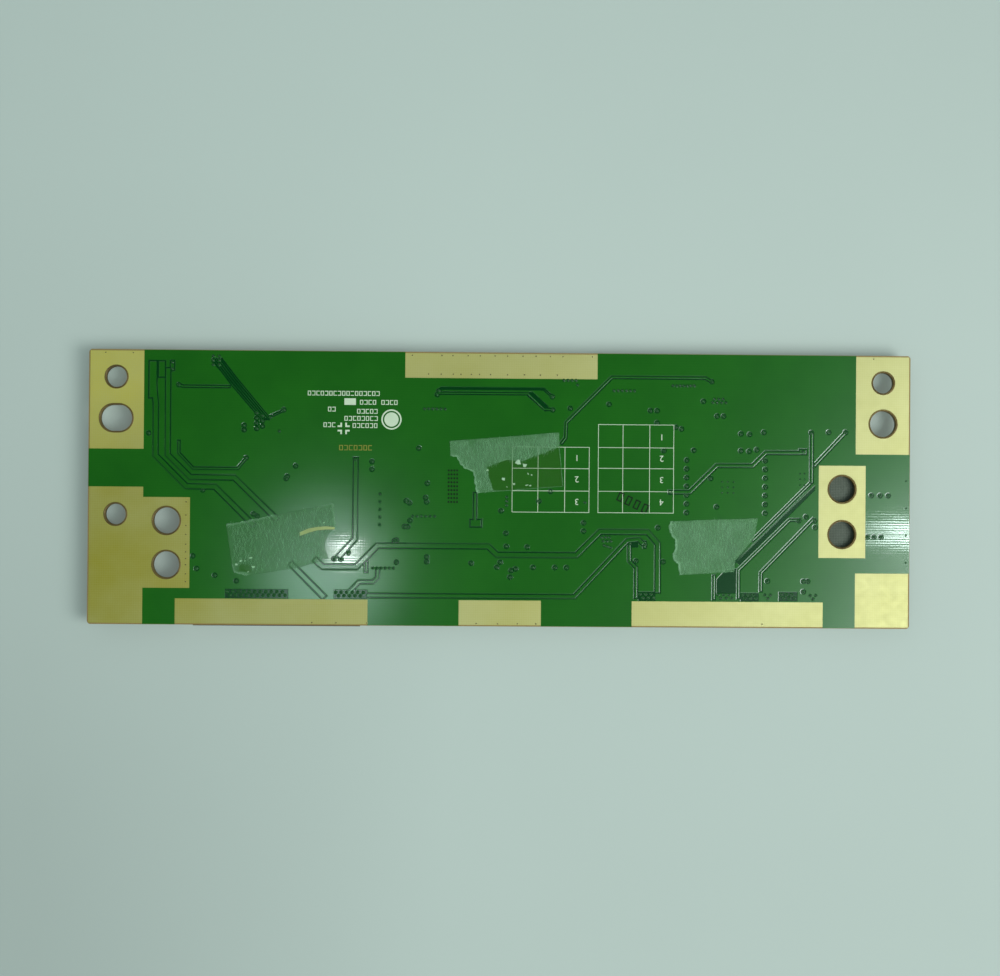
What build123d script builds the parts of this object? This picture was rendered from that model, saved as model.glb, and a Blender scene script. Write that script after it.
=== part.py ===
from build123d import *
from collections import namedtuple
import os

# Timing controller board of a flat television, lying solder side up on its own
# connectors. X runs along the board, Y across it and +Z up. The origin is on the
# plane that the board rests on, under the middle of the board. Lengths are in
# millimetres. Parts of the component side are built standing on z = 0, with any
# mouth towards +Y, and are then turned over and hung under the board.

# Board
board_length = 150.0
board_width = 50.0
board_thickness = 1.2
board_corner_radius = 0.6
copper_thickness = 0.05
copper_to_edge = 0.25

# Holes
screw_radius = 2.0
screw_from_end = 5.0
screw_from_top = 5.0
lower_screw_y = -5.0
locating_radius = 2.5
locating_from_top = 12.5
locating_slot_play = 1.0
left_pair_from_end = 14.25
left_pair_from_bottom = 14.9
left_pair_spacing = 8.0
right_pair_from_end = 12.45
right_pair_spacing = 8.3

# Ground pads
corner_pad_length = 10.0
corner_pad_reach = 5.6
lower_pad_reach = 5.0
left_pair_pad_width = 16.5
left_pair_pad_side = 4.25
right_pair_pad_length = 8.6
right_pair_pad_width = 16.9
right_pair_pad_gap = 2.1
lower_right_pad_gap = 2.8
strip_width = 4.5
input_strip_length = 35.1
output_strip_length = 35.0
output_strip_from_end = 33.4
middle_strip_length = 15.0

# Output connectors, with a flip lock lever over the cable slot
connector_height = 2.8
output_contacts = 60
output_pitch = 0.5
output_end = 2.05
output_depth = 5.4
output_left_from_end = 34.0
output_right_from_end = 33.5
output_left_overhang = 0.4
output_right_overhang = -0.1
end_wall = 1.3
floor_bottom = 0.1
floor_top = 0.8
roof_thickness = 0.6
roof_gap = 0.25
rear_wall = 1.0
channel_below_roof = 0.6
entry_setback = 0.5
pivot_setback = 2.6
pivot_below_top = 0.7
cam_radius = 0.45
trunnion_radius = 0.3
trunnion_length = 0.6
trunnion_clearance = 0.05
lever_thickness = 0.75
lever_side_gap = 0.15
lever_below_roof = 0.2

# Contacts of all three connectors
contact_width = 0.2
contact_metal = 0.18
contact_room = 0.1
tail_length = 0.7
stem_length = 0.9
beam_depth = 0.25
beam_rise = 0.4
beam_setback = 1.4
channel_side = 0.2

# Input connector, a shielded socket
input_contacts = 51
input_pitch = 0.5
input_end = 4.0
input_depth = 6.2
input_block = 2.8
input_floor = 0.35
tongue_bottom = 1.0
tongue_thickness = 0.7
tongue_setback = 0.7
cheek_width = 2.3
shell_thickness = 0.2
shell_bend = 0.3
shell_gap = 0.05
shell_foot_length = 1.2
shell_foot_reach = 1.0

# Packages: body length and width, height, pins along each side, pitch, lead width
Package = namedtuple("Package", "length width height along across pitch lead")
timing_package = Package(10.0, 10.0, 1.5, 16, 16, 0.5, 0.22)
memory_package = Package(4.9, 3.9, 1.6, 4, 0, 1.27, 0.42)
gamma_package = Package(5.0, 4.4, 1.1, 8, 0, 0.65, 0.24)
transistor_package = Package(2.9, 1.3, 1.1, 2, 1, 1.9, 0.4)
power_package = Package(6.0, 6.0, 0.9, 9, 9, 0.5, 0.25)
shifter_package = Package(4.0, 4.0, 0.9, 6, 6, 0.5, 0.25)
lead_reach = 1.0
lead_metal = 0.15
lead_frame = 0.2
mould_draft = 8.0

# Chips: length, width, height and length of each terminal
Chip = namedtuple("Chip", "length width height terminal")
bulk_chip = Chip(3.2, 1.6, 1.6, 0.5)
medium_chip = Chip(2.0, 1.25, 1.0, 0.4)
small_chip = Chip(1.0, 0.5, 0.5, 0.25)
resistor_chip = Chip(1.6, 0.8, 0.45, 0.3)
bead_chip = Chip(1.6, 0.8, 0.8, 0.35)
fuse_chip = Chip(3.2, 1.6, 0.6, 0.5)

# Power parts
inductor_side = 6.0
inductor_height = 2.4
inductor_corner = 1.0
inductor_flange = 0.6
inductor_post_radius = 1.3
inductor_coil_radius = 2.6
inductor_terminal = 1.3
inductor_terminal_width = 3.0
inductor_terminal_metal = 0.1
diode_length = 4.3
diode_width = 2.6
diode_height = 2.1
diode_lead_width = 1.5
diode_lead_reach = 0.45
crystal_length = 3.2
crystal_width = 2.5
crystal_base = 0.45
crystal_lid = 0.3

# Soft parts
gasket_thickness = 2.2
tape_thickness = 0.1

half_length = board_length / 2
half_width = board_width / 2
standing_height = max(connector_height, inductor_height, gasket_thickness)
board_bottom = standing_height
board_top = board_bottom + board_thickness


def slab(x, y, z):
    """Block between two values along each axis."""
    size = Box(x[1] - x[0], y[1] - y[0], z[1] - z[0])
    return Pos(sum(x) / 2, sum(y) / 2, sum(z) / 2) * size


def span(middle, length):
    """Two ends of a length about its middle."""
    return (middle - length / 2, middle + length / 2)


def row(count, pitch):
    """Evenly spaced places about zero."""
    return [(i - (count - 1) / 2) * pitch for i in range(count)]


def under(piece, x, y, turn=0):
    """Hang a piece that was built standing under the board."""
    return Pos(x, y, board_bottom) * Rot(180, 0, 0) * Rot(0, 0, turn) * piece


def blade(points, width):
    """Flat metal blade, with its outline given as (y, z) and its middle at x = 0."""
    outline = make_face(Plane.YZ * Polyline(*points, close=True))
    return Pos(-width / 2, 0, 0) * extrude(outline, width, dir=(1, 0, 0))


def save(name, *pieces):
    """Write one piece, or one group of like pieces, to its own file."""
    solids = [solid for piece in pieces for solid in piece.solids()]
    export_step(solids[0] if len(solids) == 1 else Compound(solids), f"parts/{name}.step")


# ---- Board, its holes and its ground pads ----

screw_x = half_length - screw_from_end
screw_y = half_width - screw_from_top
locating_y = half_width - locating_from_top
left_pair_x = -half_length + left_pair_from_end
left_pair_y = -half_width + left_pair_from_bottom
right_pair_x = half_length - right_pair_from_end
right_pair_top = locating_y - corner_pad_reach - right_pair_pad_gap
right_tails_y = -half_width - output_right_overhang + output_depth + tail_length
right_pair_bottom = max(right_pair_top - right_pair_pad_width, right_tails_y + right_pair_pad_gap / 2)
right_pair = (right_pair_bottom, right_pair_top)
right_pair_y = sum(right_pair) / 2


def hole_plan():
    """Plan of every hole through the board."""
    screws = [(-screw_x, screw_y), (screw_x, screw_y), (-screw_x, lower_screw_y)]
    wide = [(screw_x, locating_y)]
    wide += [(left_pair_x, left_pair_y + y) for y in row(2, left_pair_spacing)]
    wide += [(right_pair_x, right_pair_y + y) for y in row(2, right_pair_spacing)]
    plan = Pos(-screw_x, locating_y) * SlotOverall(2 * locating_radius + locating_slot_play, 2 * locating_radius)
    plan += [Pos(x, y) * Circle(screw_radius) for x, y in screws]
    plan += [Pos(x, y) * Circle(locating_radius) for x, y in wide]
    return plan


def rectangle(x, y):
    """Plan rectangle between two values along each axis."""
    return Pos(sum(x) / 2, sum(y) / 2) * Rectangle(x[1] - x[0], y[1] - y[0])


def corner_pads():
    """Plan of the pads round the holes."""
    edge_x = half_length - copper_to_edge
    edge_y = half_width - copper_to_edge
    left = (-edge_x, -half_length + corner_pad_length)
    right = (half_length - corner_pad_length, edge_x)
    upper = (locating_y - corner_pad_reach, edge_y)
    lower = (-edge_y, lower_screw_y + lower_pad_reach)
    pair_left = span(left_pair_y, left_pair_pad_width)
    lower_right = (-edge_y, right_pair_bottom - lower_right_pad_gap)
    lower_left = rectangle(left, lower)
    lower_left += rectangle((left[1] - 1, left_pair_x + left_pair_pad_side), pair_left)
    pads = [rectangle(left, upper), lower_left, rectangle(right, upper)]
    pads.append(rectangle(span(right_pair_x, right_pair_pad_length), right_pair))
    pads.append(rectangle(right, lower_right))
    return pads


def edge_strips():
    """Plan of the long pads behind the connectors."""
    edge = half_width - copper_to_edge
    top = (edge - strip_width, edge)
    bottom = (-edge, -edge + strip_width)
    strips = [rectangle(span(0, input_strip_length), top)]
    strip_x = half_length - output_strip_from_end
    for x in (-strip_x, strip_x):
        strips.append(rectangle(span(x, output_strip_length), bottom))
    strips.append(rectangle(span(0, middle_strip_length), bottom))
    return strips


def board():
    """Laminate with its solder mask, holed."""
    plan = RectangleRounded(board_length, board_width, board_corner_radius) - hole_plan()
    return Pos(0, 0, board_bottom) * extrude(plan, board_thickness)


def ground_pads():
    """Bare gold-plated copper areas on the solder side, holed with the board."""
    holes = hole_plan()
    plans = [plan - holes for plan in corner_pads() + edge_strips()]
    return [Pos(0, 0, board_top) * extrude(plan, copper_thickness) for plan in plans]


# ---- Flip lock connector ----

output_left_x = -half_length + output_left_from_end
output_right_x = half_length - output_right_from_end
output_length = (output_contacts - 1) * output_pitch + 2 * output_end
output_rear = -output_depth
output_inside = output_length / 2 - end_wall
roof_bottom = connector_height - roof_thickness
pivot_height = connector_height - pivot_below_top


def output_housing():
    """Open-fronted housing with a channel for the contacts at its rear."""
    whole = span(0, output_length)
    depth = (output_rear, -entry_setback)
    body = slab(whole, depth, (floor_bottom, floor_top))
    body += slab(whole, (output_rear, output_rear + rear_wall), (floor_bottom, connector_height))
    roof = (output_rear, -pivot_setback - cam_radius - roof_gap)
    body += slab(whole, roof, (roof_bottom, connector_height))
    for side in (-1, 1):
        wall = Pos(side * (output_length - end_wall) / 2, 0, 0)
        body += wall * slab(span(0, end_wall), depth, (floor_bottom, connector_height))
    lead_in = Pos(0, -entry_setback, floor_top) * Rot(45, 0, 0) * Box(2 * output_inside, 0.3, 0.3)
    bearing_length = 2 * (output_inside + trunnion_length + trunnion_clearance)
    bearing = Cylinder(trunnion_radius + trunnion_clearance, bearing_length)
    bearing = Pos(0, -pivot_setback, pivot_height) * Rot(0, 90, 0) * bearing
    channel = slab(
        span(0, (output_contacts - 1) * output_pitch + contact_width + 2 * channel_side),
        (output_rear - 1, output_rear + rear_wall),
        (0, roof_bottom - channel_below_roof),
    )
    return body - lead_in - bearing - channel


def output_contact():
    """Contact: tail on the board, stem in the channel, beam that rises to the cable."""
    neck = output_rear + stem_length
    low = floor_top + 0.02
    tip = -entry_setback - beam_setback
    return blade(
        [
            (output_rear - tail_length, 0),
            (neck, 0),
            (neck, low),
            (tip, low + contact_metal),
            (tip - 0.3, low + beam_rise),
            (output_rear + contact_room, low + beam_depth),
            (output_rear - tail_length, contact_metal),
        ],
        contact_width,
    )


def output_lever():
    """Flip lock lever, closed: a plate with a cam edge, a nail lip and two trunnions."""
    length = 2 * (output_inside - lever_side_gap)
    top = connector_height - lever_below_roof
    bottom = top - lever_thickness
    side = make_face(
        Plane.YZ
        * Polyline(
            (-pivot_setback, bottom),
            (-0.35, bottom),
            (0, bottom + 0.3),
            (0, top),
            (-0.3, top),
            (-0.5, top - 0.15),
            (-1.1, top - 0.15),
            (-1.3, top),
            (-pivot_setback, top),
            close=True,
        )
    )
    plate = Pos(-length / 2, 0, 0) * extrude(side, length, dir=(1, 0, 0))
    at_pivot = Pos(0, -pivot_setback, pivot_height) * Rot(0, 90, 0)
    trunnions = Cylinder(trunnion_radius, length + 2 * (lever_side_gap + trunnion_length))
    return plate + at_pivot * Cylinder(cam_radius, length) + at_pivot * trunnions


def output_tabs():
    """Bent solder tab at each end of the housing."""
    tabs = []
    for side in (-1, 1):
        y = span(output_rear / 2, 1.8)
        outer = output_length / 2
        foot = slab((outer - end_wall / 2, outer + 0.7), y, (0, floor_bottom))
        upright = slab((outer, outer + shell_thickness), y, (floor_bottom, 1.5))
        tab = foot + upright
        tabs.append(tab if side > 0 else mirror(tab, Plane.YZ))
    return tabs


def output_connector(side, x, overhang):
    """Pieces of one output connector, under the board's lower edge."""
    y = -half_width - overhang
    contact = output_contact()
    places = row(output_contacts, output_pitch)
    save(f"output_{side}_housing", under(output_housing(), x, y))
    save(f"output_{side}_lever", under(output_lever(), x, y))
    save(f"output_{side}_contacts", *[under(contact, x + place, y) for place in places])
    save(f"output_{side}_tabs", *[under(tab, x, y) for tab in output_tabs()])


# ---- Shielded input connector ----

input_length = (input_contacts - 1) * input_pitch + 2 * input_end
input_rear = -input_depth
shell_inside = connector_height - shell_thickness
input_top = shell_inside - shell_gap
block_half = input_length / 2 - shell_thickness - 2 * shell_gap


def input_housing():
    """Insulator: a rear block, a floor, two cheeks and the tongue that the plug covers."""
    whole = (-block_half, block_half)
    block_front = input_rear + input_block
    bottom = 0.15
    body = slab(whole, (input_rear, block_front), (bottom, input_top))
    body += slab(whole, (input_rear, -0.4), (bottom, bottom + input_floor))
    for side in (-1, 1):
        cheek = Pos(side * (block_half - cheek_width / 2), 0, 0)
        body += cheek * slab(span(0, cheek_width), (input_rear, -0.3), (bottom, input_top))
    tongue_half = (input_contacts * input_pitch) / 2 + 0.5
    tongue = slab(
        (-tongue_half, tongue_half),
        (block_front, -tongue_setback),
        (tongue_bottom, tongue_bottom + tongue_thickness),
    )
    channel = slab(
        span(0, (input_contacts - 1) * input_pitch + contact_width + 2 * channel_side),
        (input_rear - 1, block_front),
        (0, tongue_bottom),
    )
    return body - channel + tongue


def input_contact():
    """Contact with its tail on the board and its beam along the tongue."""
    tip = -tongue_setback - 0.3
    neck = input_rear + stem_length
    low = tongue_bottom - contact_metal
    return blade(
        [
            (input_rear - tail_length, 0),
            (neck, 0),
            (neck, low),
            (tip, low),
            (tip, tongue_bottom),
            (input_rear + contact_room, tongue_bottom),
            (input_rear - tail_length, contact_metal),
        ],
        contact_width,
    )


def input_shell():
    """Folded sheet steel shell with four feet and latch windows."""
    outer = input_length / 2
    bend = Plane.XZ * Rectangle(input_length, 2 * connector_height)
    bend = fillet(bend.vertices(), shell_bend)
    inner = Plane.XZ * Rectangle(
        input_length - 2 * shell_thickness, 2 * (connector_height - shell_thickness)
    )
    inner = fillet(inner.vertices(), shell_bend - shell_thickness)
    tube = extrude(bend - inner, input_depth - 0.2, dir=(0, -1, 0))
    below = slab((-outer - 1, outer + 1), (-input_depth - 1, 1), (-connector_height - 1, 0.2))
    shell = tube - below
    for y in (-1.3, -input_depth + 1.5):
        foot = slab(
            (outer - shell_thickness, outer + shell_foot_reach),
            span(y, shell_foot_length),
            (0, shell_thickness),
        )
        shell += foot
        shell += mirror(foot, Plane.YZ)
    window = slab(span(0, 2.4), (-2.4, -1.3), (connector_height - 1, connector_height + 1))
    return shell - [Pos(x, 0, 0) * window for x in row(4, 8.0)]


def input_connector():
    """Pieces of the input connector, under the board's upper edge."""
    contact = input_contact()
    places = row(input_contacts, input_pitch)
    save("input_housing", under(input_housing(), 0, half_width, 180))
    save("input_shell", under(input_shell(), 0, half_width, 180))
    save("input_contacts", *[under(contact, x, half_width, 180) for x in places])


# ---- Packages ----


def moulded_body(package, bottom):
    """Moulded body with its parting line at mid height."""
    half = (package.height - bottom) / 2
    plan = Rectangle(package.length, package.width)
    body = extrude(plan, half, taper=mould_draft)
    body += mirror(body, Plane.XY)
    return Pos(0, 0, bottom + half) * body


def gull_lead(package, bottom):
    """Lead that leaves the body at its parting line and lands on the board."""
    exit_height = (package.height + bottom) / 2
    return blade(
        [
            (0, exit_height + lead_metal / 2),
            (0.35, exit_height + lead_metal / 2),
            (0.55, lead_metal),
            (lead_reach, lead_metal),
            (lead_reach, 0),
            (0.45, 0),
            (0.25, exit_height - lead_metal / 2),
            (0, exit_height - lead_metal / 2),
        ],
        package.lead,
    )


def around(package, piece):
    """Copies of an edge piece along the sides of a package."""
    copies = []
    sides = [(package.along, package.width, 0), (package.across, package.length, 90)]
    for count, depth, turn in sides:
        for side in (0, 180):
            for place in row(count, package.pitch):
                copies.append(Rot(0, 0, turn + side) * Pos(place, depth / 2, 0) * piece)
    return copies


def leaded(name, package, places):
    """Packages with gull wing leads, at (x, y, turn) each."""
    bottom = 0.1
    body = moulded_body(package, bottom)
    leads = around(package, gull_lead(package, bottom))
    save(f"{name}_body", *[under(body, *at) for at in places])
    save(f"{name}_leads", *[under(lead, *at) for at in places for lead in leads])


def transistors(places):
    """Small transistors with two leads on one side and one on the other."""
    bottom = 0.1
    body = moulded_body(transistor_package, bottom)
    lead = Pos(0, transistor_package.width / 2, 0) * gull_lead(transistor_package, bottom)
    pair = [Pos(x, 0, 0) * lead for x in row(2, transistor_package.pitch)]
    leads = pair + [Rot(0, 0, 180) * lead]
    save("transistor_bodies", *[under(body, *at) for at in places])
    save("transistor_leads", *[under(piece, *at) for at in places for piece in leads])


def leadless(name, package, at):
    """Package with flat lands at its edges and a heat pad under it."""
    plan = Rectangle(package.length, package.width)
    body = Pos(0, 0, lead_frame) * extrude(plan, package.height - lead_frame)
    land = slab(span(0, package.lead), (-0.4, 0.02), (0, lead_frame))
    pad = Pos(0, 0, lead_frame / 2) * Box(
        package.length - 1.8, package.width - 1.8, lead_frame
    )
    save(f"{name}_body", under(body, *at))
    save(f"{name}_lands", *[under(piece, *at) for piece in around(package, land) + [pad]])


def chips(name, chip, places):
    """Two-terminal chips at (x, y, turn) each: bodies in one file, terminals in another."""
    z = (0, chip.height)
    y = span(0, chip.width)
    middle = chip.length / 2 - chip.terminal
    body = slab((-middle, middle), y, z)
    ends = [slab((middle, chip.length / 2), y, z), slab((-chip.length / 2, -middle), y, z)]
    save(f"{name}_bodies", *[under(body, *at) for at in places])
    save(f"{name}_terminals", *[under(end, *at) for at in places for end in ends])


# ---- Power parts ----


def inductors(places):
    """Wound drum cores with eight-sided flanges, on two plated terminals."""
    base = inductor_terminal_metal
    height = inductor_height - base
    side = inductor_side
    plan = chamfer(Rectangle(side, side).vertices(), inductor_corner)
    core = extrude(plan, inductor_flange)
    core += Pos(0, 0, height - inductor_flange) * extrude(plan, inductor_flange)
    core = Pos(0, 0, base) * (core + extrude(Circle(inductor_post_radius), height))
    coil = Circle(inductor_coil_radius) - Circle(inductor_post_radius)
    coil = extrude(coil, height - 2 * inductor_flange)
    coil = Pos(0, 0, base + inductor_flange) * coil
    middle = (side - inductor_terminal) / 2
    width = span(0, inductor_terminal_width)
    ends = [slab(span(x, inductor_terminal), width, (0, base)) for x in (-middle, middle)]
    save("inductor_cores", *[under(core, *at) for at in places])
    save("inductor_coils", *[under(coil, *at) for at in places])
    save("inductor_terminals", *[under(end, *at) for at in places for end in ends])


def diodes(places):
    """Rectifier diodes with leads folded under the body."""
    bottom = 0.15
    half = (diode_height - bottom) / 2
    body = extrude(Rectangle(diode_length, diode_width), half, taper=mould_draft)
    body = Pos(0, 0, bottom + half) * (body + mirror(body, Plane.XY))
    mid = bottom + half
    lead = blade(
        [
            (diode_length / 2, mid - 0.1),
            (diode_length / 2 + diode_lead_reach - 0.15, mid - 0.1),
            (diode_length / 2 + diode_lead_reach - 0.15, bottom),
            (diode_length / 2 - 0.8, bottom),
            (diode_length / 2 - 0.8, 0),
            (diode_length / 2 + diode_lead_reach, 0),
            (diode_length / 2 + diode_lead_reach, mid + 0.1),
            (diode_length / 2, mid + 0.1),
        ],
        diode_lead_width,
    )
    leads = [Rot(0, 0, 90) * lead, Rot(0, 0, -90) * lead]
    save("diode_bodies", *[under(body, *at) for at in places])
    save("diode_leads", *[under(piece, *at) for at in places for piece in leads])


def crystal(at):
    """Crystal with a ceramic base and a welded metal lid."""
    base = slab(span(0, crystal_length), span(0, crystal_width), (0, crystal_base))
    lid = extrude(Rectangle(crystal_length - 0.4, crystal_width - 0.4), crystal_lid)
    lid = Pos(0, 0, crystal_base) * lid
    save("crystal_base", under(base, *at))
    save("crystal_lid", under(lid, *at))


# ---- Soft parts ----


def gasket():
    """Conductive foam block that covers the right pair of holes from below."""
    block = slab(
        span(right_pair_x, right_pair_pad_length),
        right_pair,
        (0, gasket_thickness),
    )
    return Pos(0, 0, board_bottom - gasket_thickness) * block


def tape(name, x, y, points):
    """Torn strip of thin tape on the solder side, outlined about its own middle."""
    outline = make_face(Polyline(*points, close=True))
    save(name, Pos(x, y, board_top) * extrude(outline, tape_thickness))


def tapes():
    """Three strips of tape, left where something was stuck on."""
    tape("tape_left", -half_length + 35.0, -half_width + 15.5, [
        (-9.9, 2.8), (-1.0, 4.6), (9.6, 6.7), (9.9, 2.2),
        (8.3, -0.8), (9.5, -3.8), (3.5, -5.0), (-8.1, -6.7),
    ])
    tape("tape_middle", 1.0, 5.0, [
        (-10.4, 3.8), (9.6, 5.5), (10.4, -4.4), (-5.2, -5.7), (-6.0, -1.9), (-9.0, 0.8),
    ])
    tape("tape_right", half_length - 36.0, -half_width + 15.0, [
        (-8.0, 4.4), (8.1, 5.1), (7.3, 1.3), (4.0, -2.7),
        (3.8, -4.8), (-6.2, -5.4), (-7.5, -1.5), (-7.0, 0.5),
    ])


# ---- Layout of the component side ----

timing_at = (-2.0, 4.0, 0)
power_x = half_length - 33.5
power_y = 0.7
gamma_x = -half_length + 37.0
gamma_y = 9.0
shifter_x = output_left_x
shifter_y = -half_width + 14.5


def place_row(x, y, count, pitch, turn=0, along_y=False):
    """Places for a row of like parts that starts at one point."""
    if along_y:
        return [(x, y + i * pitch, turn) for i in range(count)]
    return [(x + i * pitch, y, turn) for i in range(count)]


def decoupling():
    """Small capacitors round the timing controller and by the two driver circuits."""
    x, y, _ = timing_at
    side = timing_package.length / 2 + lead_reach + 1.2
    places = place_row(x - 4, y - side, 5, 2.0, 90)
    places += place_row(x - side, y - 4, 4, 2.0, 0, True)
    places += place_row(x + side, y - 4, 4, 2.0, 0, True)
    places += place_row(shifter_x - 3, shifter_y + 4.0, 4, 2.0, 90)
    places += place_row(gamma_x - 3, gamma_y - 5.0, 4, 2.0, 90)
    return places


def component_side():
    """Everything that is soldered under the board, besides the connectors."""
    x, y, _ = timing_at
    leaded("timing_controller", timing_package, [timing_at])
    leaded("memory", memory_package, [(x - 15.5, y - 3, 90)])
    leaded("converter", memory_package, [(power_x + 13.2, power_y + 1.6, 90)])
    leaded("gamma_buffer", gamma_package, [(gamma_x, gamma_y, 0)])
    leadless("power_manager", power_package, (power_x, power_y, 0))
    leadless("level_shifter", shifter_package, (shifter_x, shifter_y, 0))
    transistors([(power_x - 9.5, power_y - 7.0, 0), (power_x + 9.0, power_y - 7.0, 0)])
    inductors([(power_x - 4.0, power_y + 10.5, 0), (power_x + 5.0, power_y + 10.5, 0)])
    diodes([(power_x - 9.5, power_y - 3.2, 0), (power_x - 9.5, power_y + 3.6, 0)])
    crystal((x - 12.5, y + 6.5, 0))
    upper = half_width - 5.5
    chips("bulk_capacitor", bulk_chip, place_row(power_x - 4.5, power_y - 6.8, 4, 3.0, 90))
    chips("medium_capacitor", medium_chip,
          place_row(power_x + 6.0, power_y - 2.5, 3, 2.4, 0, True)
          + place_row(20.5, upper, 2, 3.0, 90))
    chips("small_capacitor", small_chip, decoupling())
    chips("resistor", resistor_chip,
          place_row(x + 11.0, y - 4, 4, 1.8, 0, True)
          + place_row(gamma_x - 3, gamma_y + 5.2, 4, 1.8, 90)
          + place_row(shifter_x + 5.5, shifter_y - 1.6, 3, 1.6, 0, True))
    chips("bead", bead_chip, place_row(20.5, upper - 4.0, 2, 2.4, 90))
    chips("fuse", fuse_chip, [(27.5, upper, 90)])


os.makedirs("parts", exist_ok=True)
save("circuit_board", board())
save("ground_pads", *ground_pads())
output_connector("left", output_left_x, output_left_overhang)
output_connector("right", output_right_x, output_right_overhang)
input_connector()
component_side()
save("grounding_gasket", gasket())
tapes()
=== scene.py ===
"""Looks of the timing controller board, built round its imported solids.

The board lies solder side up on its own connectors. Tables and dimensions are
in millimetres about the middle of the board, with X along it, Y across it and
Z up, and meshes are written in metres.
"""

from __future__ import annotations

import logging
import math
from dataclasses import dataclass, field
from enum import Enum
from functools import cache
from typing import Any, Callable, Iterable, Sequence

import bmesh
import bpy
import numpy as np
from mathutils import Euler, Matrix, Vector
from mathutils.geometry import delaunay_2d_cdt

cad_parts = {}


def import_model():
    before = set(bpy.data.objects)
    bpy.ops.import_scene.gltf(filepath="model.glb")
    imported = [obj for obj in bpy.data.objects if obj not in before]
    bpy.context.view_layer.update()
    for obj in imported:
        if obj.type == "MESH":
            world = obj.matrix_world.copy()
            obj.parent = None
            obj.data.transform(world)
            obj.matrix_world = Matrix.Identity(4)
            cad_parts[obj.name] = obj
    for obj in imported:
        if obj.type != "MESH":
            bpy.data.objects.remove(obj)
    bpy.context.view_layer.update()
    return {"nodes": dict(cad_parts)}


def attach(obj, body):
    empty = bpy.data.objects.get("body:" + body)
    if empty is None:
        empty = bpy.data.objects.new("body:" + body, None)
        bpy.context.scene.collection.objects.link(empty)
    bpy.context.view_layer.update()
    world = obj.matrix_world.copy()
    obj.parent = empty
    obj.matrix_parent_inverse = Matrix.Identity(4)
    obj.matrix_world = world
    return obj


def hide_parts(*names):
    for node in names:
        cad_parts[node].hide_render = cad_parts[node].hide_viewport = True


LOG = logging.getLogger("timing_controller_board")
MM = 0.001

Point = tuple[float, float]
Span = tuple[float, float]
Colour = tuple[float, float, float]
Loop = list[Point]
Socket = bpy.types.NodeSocket


class Body(Enum):
    """Bodies that a piece can ride on."""

    BOARD = "board"
    LEFT_LEVER = "left_lever"
    RIGHT_LEVER = "right_lever"


class Slot(Enum):
    """Material slots of the record."""

    MASK = "solder_mask_laminate"
    GOLD = "gold_plating"
    TAPE = "tissue_tape"
    FOAM = "conductive_foam"
    HOUSING = "connector_plastic"
    LEVER = "lever_plastic"
    TIN = "tinned_metal"
    EPOXY = "mould_compound"
    WINDING = "copper_winding"
    CAPACITOR = "capacitor_ceramic"
    CHIP = "chip_ceramic"


# ---- Node trees ----


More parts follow.
